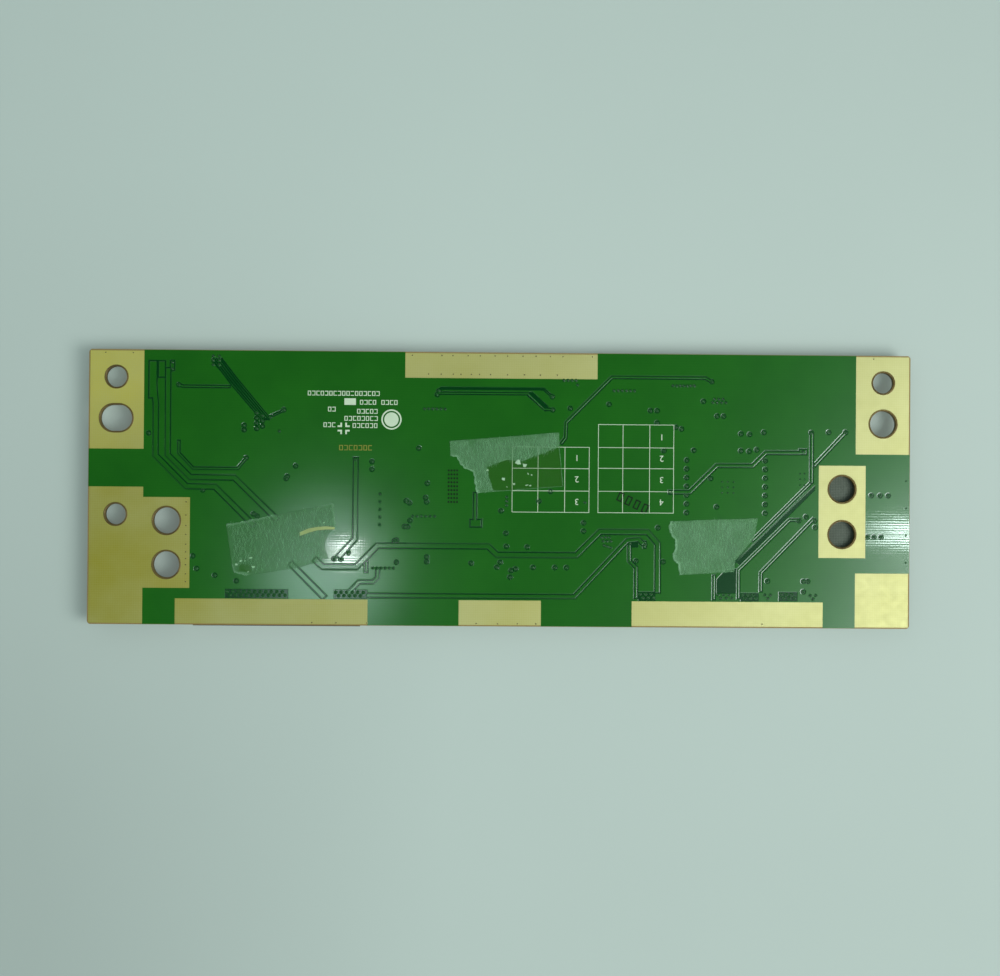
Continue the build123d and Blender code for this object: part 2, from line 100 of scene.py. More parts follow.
class Tree:
    """A node tree with a short way to add and join its nodes."""

    def __init__(self, tree: bpy.types.NodeTree) -> None:
        """Wrap a tree and clear it."""
        self.tree = tree
        tree.nodes.clear()

    def add(self, kind: str, values: dict[Any, Any] | None = None, **settings: Any) -> Any:
        """Add a node, set its options, and set or link its inputs.

        Args:
            kind: Node type.
            values: Input names or numbers, with a socket to link or a constant to set.
            settings: Options of the node itself.

        Returns:
            The node.
        """
        node = self.tree.nodes.new(kind)
        for name, value in settings.items():
            setattr(node, name, value)
        for name, value in (values or {}).items():
            if isinstance(value, Socket):
                self.tree.links.new(value, node.inputs[name])
            else:
                node.inputs[name].default_value = value
        return node

    def out(self, kind: str, values: dict[Any, Any] | None = None, **settings: Any) -> Socket:
        """Add a node as add does, and give its first output."""
        return self.add(kind, values, **settings).outputs[0]

    def math(self, operation: str, first: Any, *others: Any) -> Socket:
        """Apply one arithmetic operation to each further value in turn.

        Args:
            operation: Name of the operation.
            first: Socket or constant to start from.
            others: Further sockets or constants.

        Returns:
            The result.
        """
        for other in others:
            first = self.out("ShaderNodeMath", {0: first, 1: other}, operation=operation)
        return first

    def plus(self, *values: Any) -> Socket:
        """Sum of sockets and constants."""
        return self.math("ADD", *values)

    def times(self, *values: Any) -> Socket:
        """Product of sockets and constants."""
        return self.math("MULTIPLY", *values)

    def remap(self, value: Any, low: Span, high: Span = (0.0, 1.0)) -> Socket:
        """Map one range of values to another, clamped.

        Args:
            value: Socket to map.
            low: Range that it comes from.
            high: Range that it goes to.

        Returns:
            The mapped value.
        """
        values = {0: value, 1: low[0], 2: low[1], 3: high[0], 4: high[1]}
        return self.out("ShaderNodeMapRange", values)

    def mix(self, factor: Any, first: Any, second: Any) -> Socket:
        """Mix two colours.

        Args:
            factor: Share of the second colour.
            first: Colour or socket.
            second: Colour or socket.

        Returns:
            The mixed colour.
        """
        a, b = ((*c, 1.0) if isinstance(c, tuple) else c for c in (first, second))
        return self.add("ShaderNodeMix", {0: factor, 6: a, 7: b}, data_type="RGBA").outputs[2]

    def here(self) -> Socket:
        """Object coordinates."""
        return self.add("ShaderNodeTexCoord").outputs["Object"]

    def noise(self, where: Socket, scale: Any, detail: float, swirl: float = 0.0) -> Socket:
        """Add cloudy noise.

        Args:
            where: Coordinates.
            scale: Clouds in a metre.
            detail: Octaves of finer noise.
            swirl: How far the clouds are twisted.

        Returns:
            The level of the noise.
        """
        values = {"Vector": where, "Scale": scale, "Detail": detail, "Distortion": swirl}
        return self.out("ShaderNodeTexNoise", values)

    def use(self, maker: Callable[[], Group], **values: Any) -> Any:
        """Place a shared group with its values, and give its outputs."""
        return self.add("ShaderNodeGroup", values, node_tree=maker().tree).outputs

    def look(self, colour: Any, rough: Any, height: Any, depth: float) -> dict[str, Any]:
        """Gather what makes a surface.

        Args:
            colour: Its colour.
            rough: Its roughness.
            height: Its fine relief.
            depth: Depth of the relief in millimetres.

        Returns:
            Sockets by the shader input that they feed.
        """
        values = {"Height": height, "Distance": depth * MM, "Strength": 1.0}
        bump = self.out("ShaderNodeBump", values)
        return {"Base Color": colour, "Roughness": rough, "Normal": bump}


class Group(Tree):
    """A shared node group with named inputs.

    Attributes:
        given: Sockets of its inputs by name.
    """

    sockets = {float: "Float", int: "Int", tuple: "Vector", type(None): "Material"}

    def __init__(self, name: str, outputs: Sequence[str] = (), **inputs: Any) -> None:
        """Start a group, which makes geometry where it puts out no named values.

        Args:
            name: Name of the group.
            outputs: Names of the values that it puts out.
            inputs: Its inputs with their first values, or None for a material.
        """
        kind = "ShaderNodeTree" if outputs else "GeometryNodeTree"
        super().__init__(bpy.data.node_groups.new(name, kind))
        found = [] if outputs else [("Geometry", way, "Geometry") for way in ("INPUT", "OUTPUT")]
        found += [(label, "INPUT", self.sockets[type(value)]) for label, value in inputs.items()]
        found += [(label, "OUTPUT", "Float") for label in outputs]
        for label, way, kind in found:
            socket = self.tree.interface.new_socket(
                label, in_out=way, socket_type=f"NodeSocket{kind}"
            )
            if inputs.get(label) is not None:
                socket.default_value = inputs[label]
        self.given = self.add("NodeGroupInput").outputs

    def tube(self, path: Socket, sides: int, radius: Socket, capped: bool = True) -> Socket:
        """Sweep a circle along a path.

        Args:
            path: Curve to follow.
            sides: Sides of the circle.
            radius: Its radius.
            capped: Whether the ends are closed.

        Returns:
            The mesh.
        """
        values = {"Resolution": sides, "Radius": radius}
        circle = self.out("GeometryNodeCurvePrimitiveCircle", values)
        values = {"Curve": path, "Profile Curve": circle, "Fill Caps": capped}
        return self.out("GeometryNodeCurveToMesh", values)

    def copies(self, points: Socket, shape: Socket, **more: Any) -> Socket:
        """Put real copies of a shape on points, in the group's material.

        Args:
            points: Points to copy to.
            shape: What is copied.
            more: Rotation and Scale of the copies.

        Returns:
            The dressed copies.
        """
        values = {"Points": points, "Instance": shape, **more}
        real = self.out("GeometryNodeRealizeInstances",
                        {0: self.out("GeometryNodeInstanceOnPoints", values)})
        values = {"Geometry": real, "Material": self.given["Material"]}
        return self.out("GeometryNodeSetMaterial", values)


@cache
def grain() -> Group:
    """Cloudy variation of a moulded, sintered, plated or printed surface.

    Returns:
        Group with Size and Spread in, and Broad, Fine and Height out.
    """
    group = Group("surface_grain", ("Broad", "Fine", "Height"), Size=1.0, Spread=0.5)
    where = group.here()
    scale = group.math("DIVIDE", 1.0 / MM, group.given["Size"])
    broad = group.noise(where, group.times(scale, 0.12), 4.0)
    fine = group.noise(where, scale, 3.0)
    half = group.times(group.given["Spread"], 0.5)
    reach = (group.math("SUBTRACT", 0.5, half), group.plus(0.5, half))
    values = {"Broad": group.remap(broad, reach), "Fine": group.remap(fine, reach)}
    group.add("NodeGroupOutput", {**values, "Height": fine})
    return group


@cache
def cloth() -> Group:
    """Grid of woven yarns, as the glass cloth in a laminate prints through.

    Returns:
        Group with Pitch and Across in, and Lines and Height out.
    """
    group = Group("woven_cloth", ("Lines", "Height"), Pitch=0.5, Across=0.5)
    where = group.here()
    scale = group.math("DIVIDE", 0.05 * math.tau / MM, group.given["Pitch"])
    values = {"Vector": where, "Scale": scale, "Distortion": 0.4, "Detail": 1.0}
    warp, weft = (
        group.add("ShaderNodeTexWave", values, bands_direction=way).outputs["Fac"] for way in "YX"
    )
    lines = group.plus(warp, group.times(weft, group.given["Across"]))
    drawn = group.out("ShaderNodeMapping", {"Vector": where, "Scale": (0.1, 1.0, 1.0)})
    height = group.plus(lines, group.times(group.noise(drawn, 1.0 / MM, 2.0), 3.0))
    group.add("NodeGroupOutput", {"Lines": lines, "Height": height})
    return group


@cache
def dust() -> Group:
    """Sparse smudges and specks left by handling.

    Returns:
        Group with Size and Amount in, and Mask out.
    """
    group = Group("handling_marks", ("Mask",), Size=6.0, Amount=0.3)
    scale = group.math("DIVIDE", 1.0 / MM, group.given["Size"])
    smudge = group.noise(group.here(), scale, 5.0, 1.2)
    level = group.math("SUBTRACT", 0.72, group.times(group.given["Amount"], 0.3))
    group.add("NodeGroupOutput", {"Mask": group.remap(smudge, (level, group.plus(level, 0.16)))})
    return group


# ---- Finishes ----


@dataclass(frozen=True)
class Finish:
    """Surface of two tones mixed by grain, with its gloss and fine relief.

    Attributes:
        name: Name of the material.
        tone: Main colour.
        second: Colour that it clouds towards.
        rough: Roughness in the smooth and in the rough places.
        metal: Share of bare metal.
        grain: Size of the fine grain.
        spread: How far the two tones reach.
        relief: Depth of the fine grain.
        coat: Weight of a clear coat.
        gloss: Roughness of the coat.
        shine: Level of the specular reflection.
    """

    name: str
    tone: Colour
    second: Colour
    rough: Span = (0.4, 0.6)
    metal: float = 0.0
    grain: float = 0.4
    spread: float = 0.5
    relief: float = 0.003
    coat: float = 0.0
    gloss: float = 0.15
    shine: float = 0.5

    def material(self) -> bpy.types.Material:
        """Make the material of this finish, once.

        Returns:
            The material.
        """
        known = bpy.data.materials.get(self.name)
        if known:
            return known
        made = bpy.data.materials.new(self.name)
        made.use_nodes = True
        tree = Tree(made.node_tree)
        values = {"Metallic": self.metal, "Coat Weight": self.coat, "Coat Roughness": self.gloss,
                  "Specular IOR Level": self.shine}
        values |= self.paint(tree, tree.use(grain, Size=self.grain, Spread=self.spread))
        tree.add("ShaderNodeOutputMaterial", {0: tree.out("ShaderNodeBsdfPrincipled", values)})
        return made

    def paint(self, tree: Tree, clouds: Any) -> dict[str, Any]:
        """Paint the surface by its grain.

        Args:
            tree: Tree of the material.
            clouds: Outputs of the grain.

        Returns:
            Sockets by the shader input that they feed.
        """
        colour = tree.mix(clouds["Broad"], self.tone, self.second)
        return tree.look(colour, self.worn(tree, clouds), clouds["Height"], self.relief)

    def worn(self, tree: Tree, clouds: Any) -> Socket:
        """Roughness that follows the fine grain."""
        return tree.remap(clouds["Fine"], (0, 1), self.rough)


@dataclass(frozen=True)
class SolderMask(Finish):
    """Glossy green lacquer, darker where no copper lies under it.

    Attributes:
        bare: Colour over bare laminate.
        cloth: Depth of the glass cloth that prints through.
    """

    bare: Colour = (0.0, 0.042, 0.006)
    cloth: float = 0.001

    def paint(self, tree: Tree, clouds: Any) -> dict[str, Any]:
        """Paint the surface by the copper level and the cloth.

        Args:
            tree: Tree of the material.
            clouds: Outputs of the grain.

        Returns:
            Sockets by the shader input that they feed.
        """
        marks = tree.use(dust, Size=9.0, Amount=0.25)["Mask"]
        woven = tree.use(cloth, Pitch=0.46, Across=0.35)
        copper = tree.add("ShaderNodeAttribute", attribute_name="copper").outputs["Fac"]
        poured = tree.mix(clouds["Broad"], self.tone, self.second)
        poured = tree.mix(tree.times(woven["Lines"], 0.09), poured, self.bare)
        sunk = tree.math("SUBTRACT", 1.0, copper)
        slope = tree.times(tree.plus(tree.times(copper, 0.5), 0.09), sunk)
        rough = tree.plus(self.worn(tree, clouds), tree.plus(tree.times(marks, 0.02), slope))
        fine = tree.times(clouds["Height"], self.relief / self.cloth)
        colour = tree.mix(copper, self.bare, poured)
        look = tree.look(colour, rough, tree.plus(woven["Height"], fine), self.cloth)
        return look | {"Coat Weight": tree.remap(copper, (0, 1), (0.25 * self.coat, self.coat))}


@dataclass(frozen=True)
class Plating(Finish):
    """Matt plating over the weave of the laminate, tarnished in patches.

    Attributes:
        tarnish: Colour of the tarnished patches.
        gilt: Colour of the patches in the top left corner, a brighter gold.
        cloud: Scale of the patches, as the grain takes it.
        cloth: Depth of the weave.
    """

    tarnish: Colour = (0.335, 0.28, 0.012)
    gilt: Colour = (0.60, 0.50, 0.06)
    cloud: float = 1.8
    cloth: float = 0.0012

    def paint(self, tree: Tree, clouds: Any) -> dict[str, Any]:
        """Paint the surface by the tarnish and the weave.

        Args:
            tree: Tree of the material.
            clouds: Outputs of the grain.

        Returns:
            Sockets by the shader input that they feed.
        """
        woven = tree.use(cloth, Pitch=0.42, Across=1.0)
        plain = tree.mix(clouds["Broad"], self.tone, self.second)
        along = tree.add("ShaderNodeSeparateXYZ", {0: tree.here()}).outputs
        # The tarnish grows heavier towards the left end of the board, and turns to the brighter
        # gold in the top left corner.
        tarnish_leftward = tree.remap(along[0], (-70 * MM, 50 * MM), (0.95, 0.15))
        corner = tree.math("SUBTRACT", along[1], tree.times(along[0], 0.35))
        aged = tree.mix(tree.remap(corner, (24 * MM, 42 * MM)), self.tarnish, self.gilt)
        patch = tree.use(grain, Size=self.cloud, Spread=0.6)["Broad"]
        patch = tree.times(tree.remap(patch, (0, 1), (0.3, 0.95)), tarnish_leftward)
        colour = tree.mix(tree.plus(patch, tree.times(woven["Lines"], 0.07)), plain, aged)
        return tree.look(colour, self.worn(tree, clouds), woven["Height"], self.cloth)


@dataclass(frozen=True)
class Laminate(Finish):
    """Glass and epoxy core, with its plies showing along the edges.

    Attributes:
        ply: Pitch of the plies.
    """

    ply: float = 0.2

    def paint(self, tree: Tree, clouds: Any) -> dict[str, Any]:
        """Paint the surface by the plies.

        Args:
            tree: Tree of the material.
            clouds: Outputs of the grain.

        Returns:
            Sockets by the shader input that they feed.
        """
        scale = 0.05 * math.tau / (self.ply * MM)
        values = {"Vector": tree.here(), "Scale": scale, "Distortion": 0.3}
        plies = tree.add("ShaderNodeTexWave", values, bands_direction="Z").outputs["Fac"]
        share = tree.times(tree.plus(plies, clouds["Fine"]), 0.5)
        colour = tree.mix(share, self.tone, self.second)
        return tree.look(colour, self.worn(tree, clouds), clouds["Height"], self.relief)


@dataclass(frozen=True)
class Tissue(Finish):
    """Fibrous tissue set in clear adhesive, thinner where it tore away.

    Attributes:
        cover: Opacity in the thin and in the thick places.
        film: Colour of the adhesive where the tissue came away.
    """

    cover: Span = (0.10, 0.62)
    film: Colour = (0.048, 0.165, 0.002)

    def paint(self, tree: Tree, clouds: Any) -> dict[str, Any]:
        """Paint the surface by the fibres and the torn patches.

        Args:
            tree: Tree of the material.
            clouds: Outputs of the grain.

        Returns:
            Sockets by the shader input that they feed.
        """
        where = tree.here()
        strands = []
        for turn, seed in ((1.2, 0.0), (1.85, 0.31), (1.55, 0.77)):
            values = {"Vector": where, "Rotation": (0, 0, turn), "Location": (seed, 0, 0),
                      "Scale": (1.3 * MM, 0.2 * MM, 1.0 * MM)}
            turned = tree.out("ShaderNodeMapping", values, vector_type="TEXTURE")
            strands.append(tree.remap(tree.noise(turned, 5.0, 2.0), (0.42, 0.76)))
        fibre = tree.math("MAXIMUM", *strands)
        film, rim = (
            tree.add("ShaderNodeAttribute", attribute_name=name).outputs["Fac"]
            for name in ("tissue", "rim")
        )
        amount = tree.times(tree.remap(clouds["Fine"], (0, 1), (0.5, 1.15)), film)
        woven = tree.times(tree.remap(fibre, (0, 1), self.cover), amount)
        glue = tree.remap(film, (0.4, 0.25))
        # Along the torn sides the tissue turns lighter and thicker: frayed fibres, and a painted
        # highlight of the curled edge.
        cover = tree.plus(woven, 0.07, tree.times(rim, 0.24), tree.times(glue, 0.02))
        light = tree.times(tree.plus(fibre, rim), film)
        colour = tree.mix(glue, tree.mix(light, self.second, self.tone), self.film)
        rough = tree.remap(film, (0, 1), self.rough)
        return tree.look(colour, rough, fibre, self.relief) | {"Alpha": cover}


@dataclass(frozen=True)
class WovenCloth(Finish):
    """Metallised cloth wrapped round foam."""

    def paint(self, tree: Tree, clouds: Any) -> dict[str, Any]:
        """Paint the surface by the weave.

        Args:
            tree: Tree of the material.
            clouds: Outputs of the grain.

        Returns:
            Sockets by the shader input that they feed.
        """
        woven = tree.use(cloth, Pitch=0.3, Across=1.0)["Lines"]
        colour = tree.mix(tree.times(woven, 0.5), self.tone, self.second)
        return tree.look(colour, self.worn(tree, clouds), woven, self.relief)


MASK = SolderMask(
    "green_solder_mask", (0.0125, 0.132, 0.007), (0.009, 0.110, 0.006),
    rough=(0.04, 0.05), grain=0.9, relief=0.0004, coat=0.85, gloss=0.19,
)
VIA_MASK = Finish(
    "green_mask_on_vias", (0.003, 0.085, 0.006), (0.002, 0.07, 0.005),
    rough=(0.24, 0.3), grain=0.5, relief=0.0005, shine=0.25,
)
VIA_CENTRE = Finish(
    "sunk_mask_in_vias", (0.0, 0.035, 0.005), (0.0, 0.045, 0.007),
    rough=(0.2, 0.3), grain=0.3, relief=0.001,
)
PADS = Plating(
    "gold_on_ground_pads", (0.53, 0.50, 0.255), (0.48, 0.45, 0.205),
    rough=(0.46, 0.56), metal=0.6, grain=1.3,
)
# Dark brown plating of the hole walls and of the ring round each hole on the pads: painted shade of
# the holes' edges.
SHADED_BARREL = Finish(
    "plated_hole_wall", (0.17, 0.11, 0.025), (0.10, 0.06, 0.015),
    rough=(0.35, 0.5), metal=0.4, grain=0.3,
)
# Dark disc in the middle of each via on the pads: painted shade of the open via's mouth.
SHADED_PITS = Finish(
    "dark_via_mouth", (0.03, 0.018, 0.004), (0.05, 0.03, 0.008),
    rough=(0.5, 0.6), grain=0.2,
)
CORE = Laminate(
    "glass_epoxy_core", (0.30, 0.19, 0.055), (0.19, 0.14, 0.04),
    rough=(0.5, 0.7), grain=0.25, relief=0.004,
)
INK = Finish(
    "white_legend_ink", (0.66, 0.74, 0.56), (0.56, 0.66, 0.48),
    rough=(0.5, 0.62), grain=0.25, relief=0.002,
)
ETCHED = Finish(
    "bare_etched_marks", (0.30, 0.27, 0.03), (0.2, 0.2, 0.02),
    rough=(0.4, 0.5), metal=0.3, grain=0.3,
)
TISSUE = Tissue(
    "fibrous_tissue_tape", (0.29, 0.56, 0.31), (0.04, 0.22, 0.04),
    rough=(0.30, 0.62), grain=2.4, relief=0.006,
)
FIBRES = Finish(
    "loose_tissue_fibres", (0.30, 0.52, 0.34), (0.18, 0.38, 0.20),
    rough=(0.5, 0.7), grain=0.8, relief=0.001,
)
STAMP = Finish(
    "black_stamp_ink", (0.002, 0.010, 0.002), (0.004, 0.016, 0.004),
    rough=(0.5, 0.6), grain=0.3, relief=0.001, shine=0.1,
)
FLECK = Finish(
    "torn_tissue_flecks", (0.42, 0.58, 0.40), (0.30, 0.46, 0.28),
    rough=(0.6, 0.75), grain=0.3, relief=0.004,
)
PAPER = Finish(
    "torn_paper_edge", (0.42, 0.46, 0.18), (0.30, 0.36, 0.13),
    rough=(0.6, 0.75), grain=0.5, relief=0.006,
)
FOAM = WovenCloth(
    "conductive_cloth_on_foam", (0.11, 0.13, 0.10), (0.055, 0.065, 0.05),
    rough=(0.5, 0.7), metal=0.25, relief=0.03, grain=0.6,
)
HOUSING = Finish(
    "natural_connector_plastic", (0.66, 0.60, 0.47), (0.58, 0.52, 0.39),
    rough=(0.42, 0.55), grain=0.5, relief=0.002,
)
LEVER = Finish(
    "brown_lever_plastic", (0.055, 0.03, 0.018), (0.035, 0.02, 0.014),
    rough=(0.38, 0.52), grain=0.4, relief=0.003,
)
CONTACT = Finish(
    "gold_flashed_contacts", (0.86, 0.66, 0.32), (0.72, 0.52, 0.22),
    rough=(0.22, 0.34), metal=0.95, grain=0.3, relief=0.001,
)
SHELL = Finish(
    "tinned_shell_steel", (0.66, 0.66, 0.63), (0.54, 0.54, 0.52),
    rough=(0.26, 0.42), metal=0.9, grain=1.5, relief=0.002,
)
TIN = Finish(
    "matt_tin_solder", (0.62, 0.62, 0.60), (0.48, 0.48, 0.47),
    rough=(0.28, 0.45), metal=0.85, grain=0.35, relief=0.003,
)
EPOXY = Finish(
    "black_mould_compound", (0.020, 0.020, 0.021), (0.032, 0.032, 0.033),
    rough=(0.5, 0.68), grain=0.12, relief=0.004,
)
FERRITE = Finish(
    "sintered_ferrite", (0.06, 0.06, 0.065), (0.10, 0.10, 0.10),
    rough=(0.55, 0.7), grain=0.25, relief=0.006,
)
WIRE = Finish(
    "enamelled_copper_wire", (0.50, 0.20, 0.07), (0.36, 0.13, 0.04),
    rough=(0.2, 0.32), metal=0.8, grain=0.4, relief=0.001, coat=0.5,
)
CAPACITOR = Finish(
    "brown_capacitor_ceramic", (0.34, 0.22, 0.12), (0.26, 0.165, 0.09),
    rough=(0.42, 0.6), grain=0.2, relief=0.002,
)
CHIP = Finish(
    "dark_chip_glaze", (0.022, 0.024, 0.024), (0.04, 0.042, 0.04),
    rough=(0.25, 0.4), grain=0.3, relief=0.002,
)
LID = Finish(
    "plated_crystal_lid", (0.66, 0.62, 0.52), (0.56, 0.52, 0.43),
    rough=(0.24, 0.34), metal=0.9, grain=0.6, relief=0.001,
)


# ---- Meshes ----


def finish_piece(
    piece: bpy.types.Object, finish: Finish, slot: Slot, body: Body = Body.BOARD,
    stands_for: Sequence[str] = (),
) -> bpy.types.Object:
    """Give a made piece its finish and the body that it rides on.

    Args:
        piece: Piece in its place.
        finish: Its finish, kept as it is where the piece already has materials.
        slot: Material slot of the record; not used.
        body: Body that it moves with.
        stands_for: CAD nodes that it is shown in place of.

    Returns:
        The piece.
    """
    if not piece.data.materials:
        piece.data.materials.append(finish.material())
    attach(piece, body.value)
    if stands_for:
        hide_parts(*stands_for)
    LOG.info("%s: %d faces", piece.name, len(piece.data.polygons))
    return piece


class Shape:
    """Faces gathered in millimetres, which become one mesh in metres."""

    def __init__(self) -> None:
        """Start with no faces."""
        self.points: list[Sequence[float]] = []
        self.faces: list[Sequence[int]] = []

    def prism(self, loop: Iterable[Point], low: float, high: float, inset: float = 0.0) -> None:
        """Add an upright prism, with its far rim drawn in where an inset is given.

        Args:
            loop: Corners in plan.
            low: Height of its foot.
            high: Height of its far end.
            inset: How far the far end is drawn in towards the middle.
        """
        foot = np.array(list(loop), float)
        if signed_area(foot) < 0:
            foot = foot[::-1]
        middle = foot.mean(axis=0)
        reach = np.linalg.norm(foot - middle, axis=1, keepdims=True)
        head = foot - (foot - middle) / np.maximum(reach, 1e-9) * inset
        start, count = len(self.points), len(foot)
        self.points += [(x, y, low) for x, y in foot] + [(x, y, high) for x, y in head]
        turn = 1 if high > low else -1
        lower = list(range(start, start + count))
        upper = list(range(start + count, start + 2 * count))
        self.faces.append(lower[::-turn])
        self.faces.append(upper[::turn])
        for i in range(count):
            j = (i + 1) % count
            self.faces.append([lower[i], lower[j], upper[j], upper[i]][::turn])

    def bar(self, start: Point, end: Point, width: float, low: float, high: float) -> None:
        """Add a straight bar that reaches half its width past both ends.

        Args:
            start: Middle of one end.
            end: Middle of the other end.
            width: Width of the bar.
            low: Height of its foot.
            high: Height of its top.
        """
        a, b = np.array(start, float), np.array(end, float)
        along = (b - a) / max(float(np.linalg.norm(b - a)), 1e-9) * width / 2
        side = np.array((-along[1], along[0]))
        corners = (a - along - side, b + along - side, b + along + side, a - along + side)
        self.prism([tuple(c) for c in corners], low, high)

    def collar(
        self, outer: Sequence[Point], inner: Sequence[Point], low: float, high: float
    ) -> None:
        """Add a ring between two loops with as many points each.

        Args:
            outer: Outer loop, anticlockwise.
            inner: Inner loop, point for point.
            low: Height of its foot.
            high: Height of its top.
        """
        start, count = len(self.points), len(outer)
        for loop in (outer, inner):
            for z in (low, high):
                self.points += [(x, y, z) for x, y in loop]
        ring = [range(start + k * count, start + (k + 1) * count) for k in range(4)]
        for i in range(count):
            j = (i + 1) % count
            for a, b in ((0, 1), (1, 3), (3, 2), (2, 0)):
                self.faces.append((ring[a][i], ring[a][j], ring[b][j], ring[b][i]))

    def object(self, name: str, smooth: bool = False) -> bpy.types.Object:
        """Make the mesh object.

        Args:
            name: Name of the piece.
            smooth: Whether its faces are shaded smooth.

        Returns:
            The linked object.
        """
        mesh = bpy.data.meshes.new(name)
        points = np.array(self.points, float) * MM
        mesh.from_pydata(points.tolist(), [], [list(face) for face in self.faces])
        mesh.polygons.foreach_set("use_smooth", [smooth] * len(mesh.polygons))
        mesh.validate()
        return linked(name, mesh)


def linked(name: str, data: bpy.types.ID) -> bpy.types.Object:
    """Make an object in the scene.

    Args:
        name: Name of the object.
        data: Mesh, lamp or camera that it shows.

    Returns:
        The linked object.
    """
    made = bpy.data.objects.new(name, data)
    bpy.context.scene.collection.objects.link(made)
    return made


def smooth(piece: bpy.types.Object) -> None:
    """Shade every face of a piece smooth."""
    piece.data.polygons.foreach_set("use_smooth", [True] * len(piece.data.polygons))


def signed_area(loop: np.ndarray) -> float:
    """Area of a loop, positive where it runs anticlockwise."""
    x, y = loop[:, 0], loop[:, 1]
    return float(np.dot(x, np.roll(y, -1)) - np.dot(y, np.roll(x, -1))) / 2


def box_loop(x: Span, y: Span) -> Loop:
    """Corners of a rectangle, anticlockwise."""
    return [(x[0], y[0]), (x[1], y[0]), (x[1], y[1]), (x[0], y[1])]


def round_loop(x: float, y: float, radius: float, sides: int = 12) -> Loop:
    """Corners of a regular polygon, anticlockwise."""
    turns = [math.tau * k / sides for k in range(sides)]
    return [(x + radius * math.cos(t), y + radius * math.sin(t)) for t in turns]


def inside(at: np.ndarray, loop: Sequence[Point]) -> np.ndarray:
    """Tell which places lie inside a loop.

    Args:
        at: Places in plan.
        loop: Corners of the loop.

    Returns:
        One truth value for each place.
    """
    corners = np.array(loop, float)
    result = np.zeros(len(at), bool)
    for (ax, ay), (bx, by) in zip(corners, np.roll(corners, -1, axis=0)):
        spans = (ay > at[:, 1]) != (by > at[:, 1])
        if ay != by:
            cross = ax + (at[:, 1] - ay) * (bx - ax) / (by - ay)
            result ^= spans & (at[:, 0] < cross)
    return result


def distance(
    at: np.ndarray, starts: np.ndarray, ends: np.ndarray, square: np.ndarray | None = None
) -> np.ndarray:
    """Distances from places to segments.

    Args:
        at: Places in plan.
        starts: First ends of the segments.
        ends: Second ends.
        square: For each segment, whether its first and its second end are square.

    Returns:
        One row for each place, one column for each segment.
    """
    along = ends - starts
    length = np.maximum((along**2).sum(axis=1), 1e-12)
    offset = at[:, None, :] - starts[None]
    reach = (offset * along[None]).sum(axis=2) / length
    share = np.clip(reach, 0, 1)
    direct = np.linalg.norm(offset - share[..., None] * along[None], axis=2)
    if square is None:
        return direct
    past = np.abs(reach - share) * np.sqrt(length)
    beside_line = np.linalg.norm(offset - reach[..., None] * along[None], axis=2)
    squared = ((reach < 0) & (square[:, 0] > 0)) | ((reach > 1) & (square[:, 1] > 0))
    return np.where(squared, np.maximum(past, beside_line), direct)


def to_rim(at: np.ndarray, loop: Sequence[Point]) -> np.ndarray:
    """Distance from each place to the nearest side of a loop."""
    corners = np.array(loop, float)
    return distance(at, corners, np.roll(corners, -1, axis=0)).min(axis=1)


def beside(points: Sequence[Point], reach: float) -> Loop:
    """Loop round a route at a given distance, with square ends.

    Args:
        points: Corners of the route, or a single place.
        reach: Distance from the route.

    Returns:
        The loop.
    """
    if len(points) == 1:
        return round_loop(*points[0], reach, 10)
    route = np.array(points, float)
    along = np.diff(route, axis=0)
    along /= np.linalg.norm(along, axis=1, keepdims=True)
    normal = np.stack([-along[:, 1], along[:, 0]], axis=1)
    loop: Loop = []
    for way in (1, -1):
        order = range(len(route)) if way > 0 else range(len(route) - 1, -1, -1)
        for i in order:
            before, after = normal[max(i - 1, 0)], normal[min(i, len(normal) - 1)]
            corner = before + after
            corner /= max(float(corner @ before), 0.2)
            loop.append(tuple(route[i] + way * reach * corner))
        tip, out = (route[-1], along[-1]) if way > 0 else (route[0], -along[0])
        side = np.array((-out[1], out[0]))
        loop += [tuple(tip + reach * (out + side)), tuple(tip + reach * (out - side))]
    return loop


